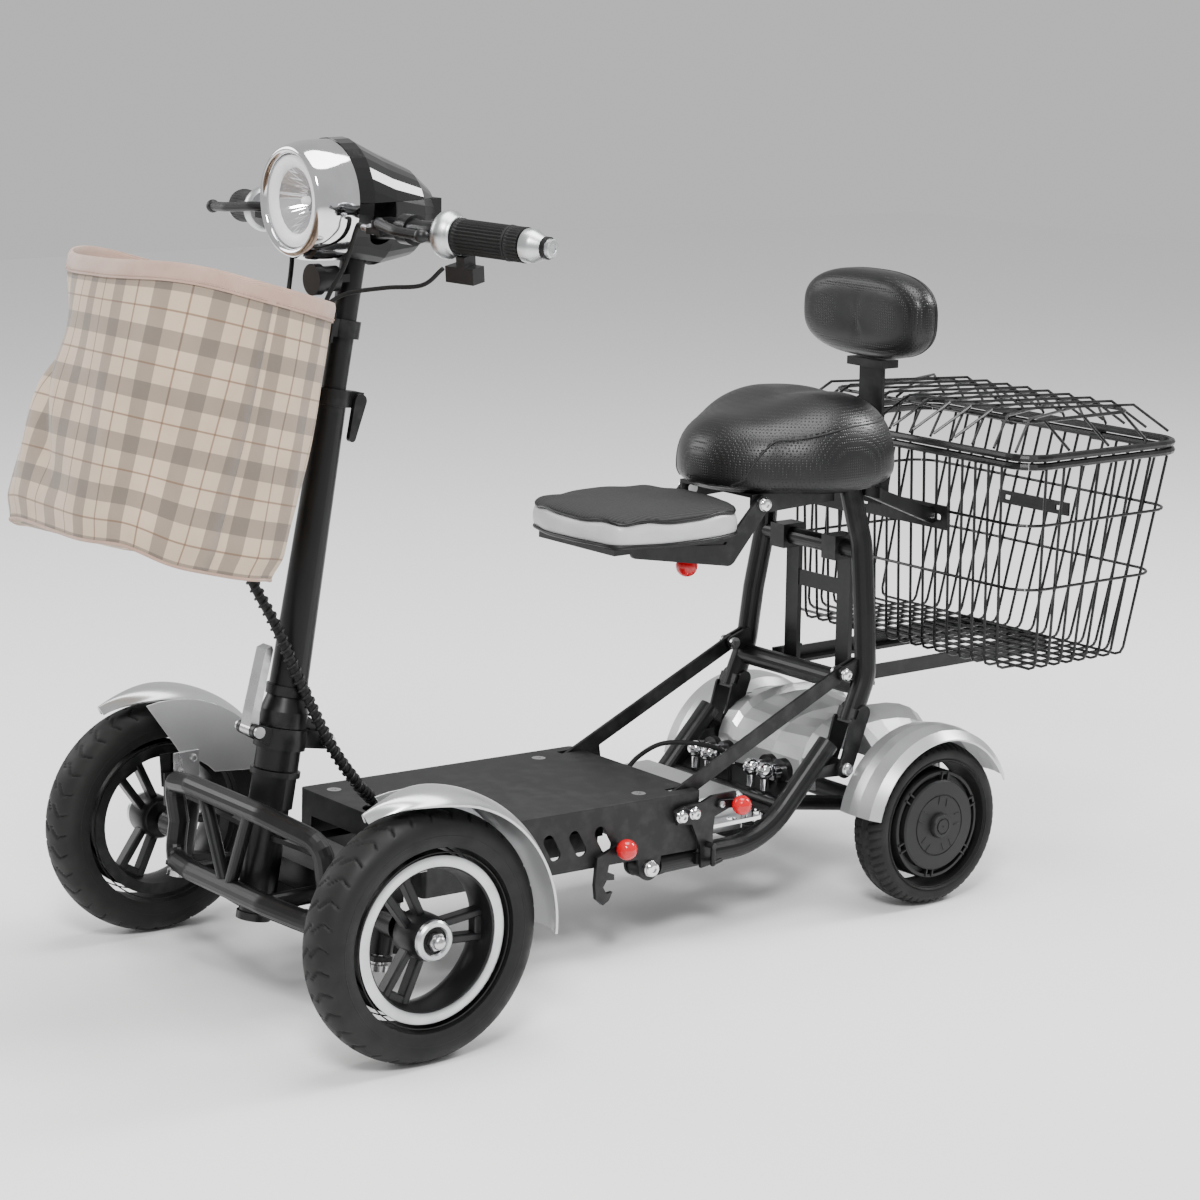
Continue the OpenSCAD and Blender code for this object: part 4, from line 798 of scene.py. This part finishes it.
def saddle_point(t, v):
    """Point of the saddle's cover: t goes round, v climbs from the base edge (0) to the crown (1)."""
    phi = math.radians(-32 + 122 * v)
    reach = power(math.cos(phi), 0.52)
    nose = max(0.0, -math.sin(t))
    width = 1 - 0.36 * nose ** 1.5 - 0.05 * math.exp(-((t - math.pi * 1.16) / 0.22) ** 2) \
        - 0.05 * math.exp(-((t - math.pi * 1.84) / 0.22) ** 2)
    x = SADDLE_A * reach * power(math.cos(t), 0.82) * width
    y = SADDLE_Y + SADDLE_B * reach * power(math.sin(t), 0.82)
    crown = 83 + 18 * smoothstep(600, 690, y) - 5 * smoothstep(740, 800, y)
    dish = 5.0 * math.exp(-((x / 26) ** 2)) * smoothstep(610, 700, y) * (1 - smoothstep(760, 800, y))
    lift = power(math.sin(phi), 0.86)
    base = 0.18
    rise = base + (1 - base) * lift if lift > 0 else base * (1 + lift / 0.58)
    z = SADDLE_Z + crown * rise
    return at(x, y, z - dish * max(0.0, lift) ** 6)


def make_saddle():
    count, rings = 96, 34
    verts, faces = domed(saddle_point, count, rings)
    cover = add_piece("saddle_cover", verts, faces, "seat_frame", "vinyl", 180.0)
    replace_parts(cover, "saddle")
    subdivide(cover)

    def seam_height(t):
        front = max(0.0, -math.sin(t))
        return 0.56 - 0.50 * smoothstep(0.55, 0.98, front)

    def seam(steps, above):
        angles = [math.radians(-62 + 304 * k / steps) for k in range(steps + 1)]
        return [saddle_point(t, seam_height(t) + above) for t in angles]

    tube("saddle_seam", seam(139, 0.0), 0.9, "seat_frame", "thread", 8)
    stitch_row("saddle_stitch", seam(90, 0.022), "seat_frame", "thread")
    # plastic base pan under the cover
    def pan_point(t, z, grow):
        p = saddle_point(t, 0.02)
        mid = at(0, SADDLE_Y, z)
        size = grow / 0.88
        return Vector((mid.x + (p.x - mid.x) * size, mid.y + (p.y - mid.y) * size, z * MM))

    levels = [(477.5, 0.80), (478.0, 0.83), (482.0, 0.86), (485.0, 0.86)]
    ring_piece("saddle_pan", levels, count, pan_point, "seat_frame", "matte", 40.0)


def stitch_row(name, points, body, mat, radius=0.45):
    """Short thread stitches along a line, every other gap left open."""
    verts, faces = [], []
    for a, b in zip(points, points[1:]):
        p, q = a.lerp(b, 0.15), a.lerp(b, 0.75)
        d = (q - p).normalized()
        side = d.cross(Vector((0, 0, 1))).normalized()
        other = d.cross(side)
        start = len(verts)
        for base in (p, q):
            verts += [base + around(side, other, turn(k, 6)) * radius * MM for k in range(6)]
        for k in range(6):
            m = (k + 1) % 6
            faces.append((start + k, start + m, start + 6 + m, start + 6 + k))
        faces.append(tuple(start + k for k in range(6)))
        faces.append(tuple(start + 6 + k for k in range(6)))
    return add_piece(name, verts, faces, body, mat, 60.0)


BACK_Y, BACK_Z = 806.0, 661.0
BACK_HALF_X, BACK_HALF_Z = 104.0, 51.0


def backrest_point(t, v):
    """v runs from the rear face (0) round the edge to the middle of the front face (1)."""
    phi = math.radians(-38 + 128 * v)
    reach = power(math.cos(phi), 0.42)
    x = BACK_HALF_X * reach * power(math.cos(t), 0.70)
    z = BACK_HALF_Z * reach * power(math.sin(t), 0.70) * (1 - 0.06 * (x / BACK_HALF_X) ** 2)
    depth = power(math.sin(phi), 0.9)
    curve = 9.0 * (x / BACK_HALF_X) ** 2
    crease = 2.2 * math.exp(-((x - 4) / 5) ** 2) * math.exp(-((z + 2) / 22) ** 2) * max(0.0, depth) ** 4
    y = BACK_Y - 27 * depth - curve * 0.6 + crease
    return at(x, y, BACK_Z + z)


def make_backrest():
    count, rings = 96, 30
    verts, faces = domed(backrest_point, count, rings)
    pad = add_piece("backrest_cover", verts, faces, "backrest_slider", "vinyl", 180.0)
    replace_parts(pad, "backrest")
    subdivide(pad)
    for k, (v, radius) in enumerate(((0.06, 1.5), (0.15, 1.0))):
        piping = [backrest_point(turn(i, 120), v) for i in range(120)]
        tube(f"backrest_piping_{k}", piping, radius, "backrest_slider", "plain_vinyl", 8, True)
    # moulded rear shell
    def shell_point(t, y, s):
        return at(BACK_HALF_X * s * power(math.cos(t), 0.70), BACK_Y + y - 5.4 * abs(math.cos(t)) ** 2,
                  BACK_Z + BACK_HALF_Z * s * power(math.sin(t), 0.70))

    levels = [(9, 0.94), (16, 0.93), (21, 0.84), (23, 0.60)]
    ring_piece("backrest_shell", levels, count, shell_point, "backrest_slider", "matte", 60.0)


CHILD_Y = 462.0


def child_outline(t, scale):
    wave = 1 + 0.018 * math.cos(8 * t + 0.6) + 0.012 * math.sin(5 * t)
    return (98 * scale * wave * power(math.cos(t), 0.60), 98 * scale * wave * power(math.sin(t), 0.60))


def make_child_seat():
    count, rings = 144, 18

    def band_point(t, z, s):
        x, y = child_outline(t, s)
        sag = 1.6 * math.sin(9 * t + z * 0.2)
        return at(x, CHILD_Y + y, z + (sag if z > 445 else 0))

    def top_point(t, f):
        s = 0.968 * power(math.cos(f * math.pi / 2), 0.45) if f < 1 else 0.001
        x, y = child_outline(t, max(s, 0.001))
        height = 466.5 + 9.5 * power(math.sin(f * math.pi / 2), 0.6)
        return at(x, CHILD_Y + y, height + 1.2 * math.sin(9 * t + 93) * (1 - f))

    def board_point(t, z, s):
        x, y = child_outline(t, s)
        return at(x, CHILD_Y + y, z)

    levels = [(441, 0.955), (443, 0.985), (450, 1.0), (458, 0.995), (464, 0.975), (468.5, 0.95)]
    side = ring_piece("child_seat_band", levels, count, band_point, "child_seat_arms", "band", 70.0)
    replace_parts(side, "child_seat")
    subdivide(side)
    levels = [(i / (rings - 1),) for i in range(rings)]
    top = ring_piece("child_seat_top", levels, count, top_point, "child_seat_arms", "mesh", 70.0)
    for name, z, s, r in (("child_seat_piping_top", 467.2, 0.966, 1.7),
                          ("child_seat_piping_low", 441.4, 0.98, 2.0)):
        tube(name, loops(((z, s),), count, band_point)[0], r, "child_seat_arms", "plain_vinyl", 8, True)
    levels = [(437.2, 0.93), (437.6, 0.95), (440.6, 0.955), (441.4, 0.94)]
    ring_piece("child_seat_board", levels, count, board_point, "child_seat_arms", "matte", 50.0)


BAG_TILT = math.radians(15)
BAG_HALF, BAG_DEEP, BAG_H = 138.0, 112.0, 272.0
STITCH_DROP = -14.0        # the stitch line below the bag's rim


def bag_place(x, y, z):
    """A point of the bag's own frame, its rim at z = 0, leant forward."""
    c, n = math.cos(BAG_TILT), math.sin(BAG_TILT)
    return at(x, -83 + y * c + z * n, 748 - y * n + z * c)


def bag_point(t, f):
    """f falls from the rim (0) to the bottom edge (1)."""
    square = 0.75 - 0.2 * f
    a = BAG_HALF - 4 * f - 6 * smoothstep(0.9, 1.0, f)
    b = BAG_DEEP - 3 * f - 6 * smoothstep(0.9, 1.0, f)
    x = a * power(math.cos(t), square)
    y = b * power(math.sin(t), square)
    # the far front corner is pushed in, with folds running down from it
    corner = math.exp(-((t - math.radians(226)) / 0.50) ** 2)
    pinch = 24 * math.exp(-((f - 0.30) / 0.15) ** 2) - 3 * math.exp(-((f - 0.95) / 0.22) ** 2)
    crease = 8 * math.exp(-((t - math.radians(246) - 0.9 * (f - 0.4)) / 0.10) ** 2) \
        * smoothstep(0.08, 0.3, f) * (1 - smoothstep(0.7, 0.95, f))
    ripple = 2.2 * math.sin(7 * t + 5 * f) * smoothstep(0.0, 0.35, f) + 1.6 * math.sin(15 * t - 9 * f) \
        * smoothstep(0.1, 0.5, f)
    belly = 3.0 * math.sin(math.pi * f)
    near = math.exp(-((t - math.radians(318)) / 0.35) ** 2) * 5 * math.exp(-((f - 0.62) / 0.2) ** 2)
    inward = corner * pinch + crease + near - ripple * 0.6 - belly
    size = math.hypot(x, y)
    k = 1 - inward / size
    sag = 7 * math.sin(2 * t + 0.6) + 4 * math.sin(5 * t + 2.0)
    z = -BAG_H * f - sag * smoothstep(0.6, 1.0, f) * 0.6
    rim = 5 * math.cos(2 * t) - 3 * math.sin(3 * t + 1.0)
    return x * k, y * k, z + rim * (1 - smoothstep(0.0, 0.25, f))


def make_bag():
    count, rings = 220, 70
    rows = []
    for i in range(rings + 1):
        f = i / rings
        rows.append([bag_place(*bag_point(turn(k, count), f)) for k in range(count + 1)])
    girth = [0.0]
    for k in range(count):
        a = Vector(bag_point(turn(k, count), 0.5))
        b = Vector(bag_point(turn(k + 1, count), 0.5))
        girth.append(girth[-1] + (b - a).length * MM)
    verts = [p for row in rows for p in row]
    faces = grid_faces(rings + 1, count + 1, False)
    uv_of = {}
    for i in range(rings + 1):
        for k in range(count + 1):
            uv_of[i * (count + 1) + k] = (girth[k], BAG_H * MM * i / rings)
    # gathered base
    base_rings = 12
    start = len(verts)
    for i in range(1, base_rings + 1):
        g = i / base_rings
        for k in range(count + 1):
            x, y, z = bag_point(turn(k, count), 1.0)
            p = bag_place(x * (1 - g), y * (1 - g), z * (1 - g) + (-BAG_H - 3 - 3 * math.sin(3 * g)) * g)
            verts.append(p)
            uv_of[len(verts) - 1] = (x * (1 - g) * MM, y * (1 - g) * MM)
    last = rings * (count + 1)
    for i in range(base_rings):
        upper = last if i == 0 else start + (i - 1) * (count + 1)
        lower = start + i * (count + 1)
        for k in range(count):
            faces.append((upper + k, upper + k + 1, lower + k + 1, lower + k))
    bag = add_piece("front_bag_cloth", verts, faces, "handlebar", "check", 80.0)
    layer = bag.data.uv_layers.new(name="UVMap")
    for loop in bag.data.loops:
        layer.data[loop.index].uv = uv_of[loop.vertex_index]
    solid = bag.modifiers.new("cloth", "SOLIDIFY")
    solid.thickness = 0.0016
    solid.offset = 0
    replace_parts(bag, "front_bag")
    # folded binding round the rim, with its stitching
    band_rows = []
    section = [(-2.6, -17), (-3.0, -3), (-1.2, 1.6), (1.2, 1.6), (3.0, -3), (2.6, -17)]
    for k in range(count):
        t = turn(k, count)
        x, y, z = bag_point(t, 0.0)
        n = Vector((x, y, 0)).normalized()
        x2, y2, _ = bag_point(t, 0.06)
        row = []
        for off, drop in section:
            g = -drop / 17 if drop < 0 else 0
            row.append(bag_place(x + (x2 - x) * g + n.x * off, y + (y2 - y) * g + n.y * off, z + drop))
        band_rows.append(row)
    verts, faces = skin(band_rows, False, False, True)
    add_piece("front_bag_binding", verts, faces, "handlebar", "binding", 60.0)
    line = []
    for i in range(240):
        t = turn(i, 240)
        x, y, z = bag_point(t, 0.05)
        n = Vector((x, y, 0)).normalized()
        line.append(bag_place(x + n.x * 3.2, y + n.y * 3.2, bag_point(t, 0)[2] + STITCH_DROP))
    stitch_row("front_bag_stitch_0", line, "handlebar", "binding", 0.5)
    hem = [bag_place(*bag_point(turn(k, count), 1.0)) for k in range(count)]
    tube("front_bag_hem", hem, 1.8, "handlebar", "binding", 8, True)


# ------------------------------------------------------------------ headlamp and handlebar
LAMP_Y, LAMP_Z = 18.0, 818.0


def lamp_turned(name, profile, mat, steps=96, facets=0, depth=0.0, angle=35.0):
    """Revolves (radius, distance behind the front plane) points round the lamp's axis."""
    def point(a, r, d):
        reach = r - (depth * abs(math.sin(facets * a / 2)) if facets else 0.0)
        return at(reach * math.cos(a), LAMP_Y + d, LAMP_Z + reach * math.sin(a))

    return ring_piece(name, profile, steps, point, "handlebar", mat, angle, False)


def make_headlamp():
    led = lamp_turned("headlamp_led_ring", [(46.0, 6), (45.6, 3.4), (42, 2.6), (36, 3.6), (33.4, 6.0),
                                            (33.0, 9.0)], "led")
    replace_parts(led, "headlamp_bowl")
    lamp_turned("headlamp_reflector", [(33.6, 8.5), (33.2, 8.0), (30, 12), (25, 19), (19, 28), (14, 36),
                                       (12, 40)], "chrome", 96, 24, 0.6)
    lamp_turned("headlamp_inner_ring", [(47.5, 1.8), (50.4, 2.6), (49, 6.5), (46.4, 6.5), (46.2, 2.4)],
                "alloy")
    lamp_turned("headlamp_projector", [(13, 39.5), (13, 30), (11.6, 28), (10.6, 29), (9.6, 27.2), (7, 24.6),
                                       (3.6, 22.9), (0.3, 22.3)], "gloss")
    lamp_turned("headlamp_bulb", [(4.6, 22), (4.2, 17), (3.0, 15.0), (0.3, 14.2)], "led")
    lamp_turned("headlamp_glass", [(0.3, -1.2), (16, -0.9), (32, 0.2), (46.8, 1.4), (46.8, 2.6), (32, 1.6),
                                   (16, 0.6), (0.3, 0.3)], "glass")
    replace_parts(bpy.data.objects["headlamp_glass"], "headlamp_lens")
    rim = lamp_turned("headlamp_bezel_shell",
                      [(46.8, 5.6), (47.4, 0.6), (49.2, -1.6), (51.6, -2.4), (54.0, -1.4), (55.4, 1.2),
                       (56.6, 4.4), (58.4, 10), (59.8, 18), (60.6, 30), (60.8, 43.6), (59.4, 44.0),
                       (57.2, 30), (55, 16), (51, 8), (48, 6)], "chrome", 128, angle=60.0)
    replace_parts(rim, "headlamp_bezel")


BAR_KINK, BAR_TIP = (150.0, 88.0, 796.0), (285.0, 129.0, 790.0)


def bar_frame(mirror):
    kink = at(mirror * BAR_KINK[0], BAR_KINK[1], BAR_KINK[2])
    tip = at(mirror * BAR_TIP[0], BAR_TIP[1], BAR_TIP[2])
    return kink, tip - kink


def make_grips():
    """Ribbed rubber grips, the left one in two parts, with alloy end weights and throttle collars."""
    kink, axis = bar_frame(1)
    inner_end = [(33.4, 12), (33.4, 17.6), (35.5, 18)]
    fine = inner_end + [(38 + 1.5 * i, 17.2) for i in range(38)] + [(95.4, 17.8), (96.8, 17.2), (96.8, 12)]
    throttle = turned_along("throttle_sleeve", kink, axis, fine, "throttle", "rubber", 180, 30, 1.3, (37, 95))
    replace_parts(throttle, "throttle_grip")
    short = [(97.6, 12), (97.6, 17.4), (99, 17.4), (100.5, 17.2), (112, 17.2), (113.4, 17.4), (113.9, 12)]
    end = turned_along("grip_end_left", kink, axis, short, "handlebar", "rubber", 180, 30, 1.3, (100, 113))
    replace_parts(end, "grip_ends")
    kink_r, axis_r = bar_frame(-1)
    long = inner_end + [(38 + 2 * i, 17.2) for i in range(36)] + [(112.2, 17.8), (113.6, 17.2), (113.6, 12)]
    turned_along("grip_right", kink_r, axis_r, long, "handlebar", "rubber", 180, 30, 1.3, (37, 111))
    collar = [(11, 11.6), (11, 19.5), (12, 20.6), (14, 22.4), (17.5, 23.8), (21, 24.2), (24.5, 23.4),
              (27.5, 21.6), (30, 20.2), (32, 19.6), (32.8, 18.6), (32.8, 11.6)]
    weight = [(114.4, 11.4), (114.4, 15.6), (115.2, 16.4), (124, 16.4), (126, 15.4), (133, 12.2), (140, 9.6),
              (141.4, 9.4), (145.2, 9.2), (146.2, 8.2), (146.4, 5.0), (145.4, 4.6), (145.2, 0.3)]
    for side, mirror in SIDES:
        k, a = bar_frame(mirror)
        piece = turned_along(f"throttle_collar_{side}", k, a, collar, "handlebar", "alloy", 64)
        turned_along(f"bar_weight_{side}", k, a, weight, "handlebar", "alloy", 64)
        if side == "left":
            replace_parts(piece, "bar_fittings")
        adjuster = [(0, 4.6), (0.4, 5.0), (7.4, 5.0), (8.0, 4.2), (8.4, 3.4), (16.8, 3.4), (17.4, 2.9),
                    (18.2, 2.7)]
        start = at(mirror * 91.3, 58, 795)
        turned_along(f"cable_adjuster_{side}", start, at(mirror * 70, 56, 797) - start, adjuster, "handlebar",
                     "steel", 60, 16, 0.5, (0.2, 7.6))


# ------------------------------------------------------------------ latches, knobs and bolts
BALL_R = 11.0
DECK_HALF = 119.0


def lever_bar(name, a, b, radius, x0, x1, body):
    """Flat lever with round ends in a YZ plane."""
    (ya, za), (yb, zb) = a, b
    ang = math.atan2(zb - za, yb - ya)
    outline = []
    for (y, z), base in (((ya, za), ang + math.pi / 2), ((yb, zb), ang - math.pi / 2)):
        for k in range(13):
            t = base + math.pi * k / 12
            outline.append((y + radius * math.cos(t), z + radius * math.sin(t)))
    rows = [[at(x, y, z) for y, z in outline] for x in (x0, x1)]
    verts, faces = skin(rows)
    piece = add_piece(name, verts, faces, body, "paint", 40.0)
    bevel_edges(piece, 0.5)
    return piece


def make_latches():
    pivot, tip = (486, 152), (506, 150)
    for side, mirror in SIDES:
        body = f"frame_latch_{side}"
        bar = lever_bar(f"frame_latch_bar_{side}", pivot, tip, 5, mirror * (DECK_HALF + 8),
                        mirror * (DECK_HALF + 12), body)
        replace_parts(bar, f"latch_lever_{side}")
        ball(f"frame_latch_knob_{side}", at(mirror * (DECK_HALF + 22), *tip), BALL_R, body, "red")
        stem = [(0, 3.2), (8, 3.2)]
        out = Vector((mirror, 0, 0))
        turned_along(f"frame_latch_stem_{side}", at(mirror * (DECK_HALF + 11), *tip), out, stem, body,
                     "steel", 24)
        socket_bolt(f"frame_latch_pin_{side}", at(mirror * (DECK_HALF + 12), *pivot), out, 4, 3, body)
    ball("side_hook_knob", at(DECK_HALF + 19, 349, 125), BALL_R + 0.4, "side_hook", "red")
    ball("child_seat_knob", at(10, 528, 394), BALL_R + 1.4, "child_seat_arms", "red")


def make_bolts():
    """Socket heads over the plain domed bolts of the CAD."""
    for side, mirror in SIDES:
        out = Vector((mirror, 0, 0))
        for name, x, y, z, r, body in (
                ("frame_hinge", 122.4, 397, 91, 8.4, "chassis"),
                ("seat_pivot", 125.6, 676, 161, 6.6, "seat_frame"),
                ("strut_pivot", 109.8, 685, 267, 6.6, "seat_frame"),
                ("child_pivot", 72.6, 589, 467, 7.6, "seat_frame")):
            socket_bolt(f"{name}_head_{side}", at(mirror * x, y, z), out, r, 3.2, body, "chrome")
        for k, (y, z) in enumerate(((431, 146), (449, 147))):
            socket_bolt(f"latch_plate_head_{side}_{k}", at(mirror * 131.6, y, z), out, 6.4, 3.2,
                        "rear_chassis", "chrome")


# ------------------------------------------------------------------ cords
TWIST_START, TWIST_END = 1, -2      # two points of the harness route; their places are computed but not used
HARNESS = [(0, -30, 492), (6, -38, 452), (20, -14, 392), (29, 14, 322), (35, 42, 262), (26, 80, 214),
           (8, 108, 190), (0, 126, 163)]
BAR_CABLE = [(72.9, 56.27, 796.7), (66, 55.6, 797.3), (56, 54, 776), (48, 50, 754), (36, 38, 722),
             (26, 24, 668), (14, -6, 560), (2.9, -28.4, 494)]
POD_CABLE = [(164, 90, 762), (140, 82, 744), (96, 68, 738), (60, 46, 730), (44, 30, 716), (34, 25.4, 700),
             (10, 20, 660), (0, -10, 560), (0, -33, 494)]
TAIL_CABLE = [(-20, 440, 148), (-24, 464, 151), (-22, 488, 172), (-6, 512, 188), (14, 548, 186),
              (12, 584, 172), (2, 602, 152), (0, 606, 131.9)]


def make_cables():
    route = smooth_route([at(*p) for p in HARNESS], 24)
    core = tube("harness_core", route, 4.8, None, "rubber", 14)
    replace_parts(core, "harness")
    wrap = spiral_wrap("harness_wrap", route, 5.6, 9.0, None, "matte")
    for piece in (core, wrap):
        at(*HARNESS[TWIST_START])
        at(*HARNESS[TWIST_END])
        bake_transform(piece)

    def cord(name, route, radius, body, mirror=1):
        line = smooth_route([at(mirror * x, y, z) for x, y, z in route], 10)
        return tube(name, line, radius, body, "rubber", 12)

    for side, mirror in SIDES:
        cable = cord(f"brake_cable_{side}", BAR_CABLE, 2.5, "handlebar", mirror)
        if side == "left":
            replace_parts(cable, "bar_cables")
    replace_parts(cord("switch_cable", POD_CABLE, 2.2, "handlebar"), "pod_cable")
    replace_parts(cord("tail_lead", TAIL_CABLE, 2.8, "rear_chassis"), "tail_cable")


def spiral_wrap(name, route, radius, pitch, body, mat):
    """Flat band wound round a harness."""
    points = []
    travelled = 0.0
    side = None
    for a, b in zip(route, route[1:]):
        d = b - a
        t = d.normalized()
        if side is None:
            side = t.cross(Vector((1, 0, 0))).normalized()
        side = (side - t * side.dot(t)).normalized()
        other = t.cross(side)
        for k in range(5):
            s = travelled + d.length * k / 5
            ang = 2 * math.pi * s / (pitch * MM)
            points.append(a + d * (k / 5) + around(side, other, ang) * radius * MM)
        travelled += d.length
    return tube(name, points, 1.5, body, mat, 6)


# ------------------------------------------------------------------ build
make_camera()
make_materials()
make_studio()
make_cables()
dress_cad()
for side, mirror in SIDES:
    make_front_wheel(side, mirror)
    make_rear_wheel(side, mirror)
make_fenders()
make_headlamp()
make_grips()
make_bag()
make_saddle()
make_backrest()
make_child_seat()
make_latches()
make_bolts()
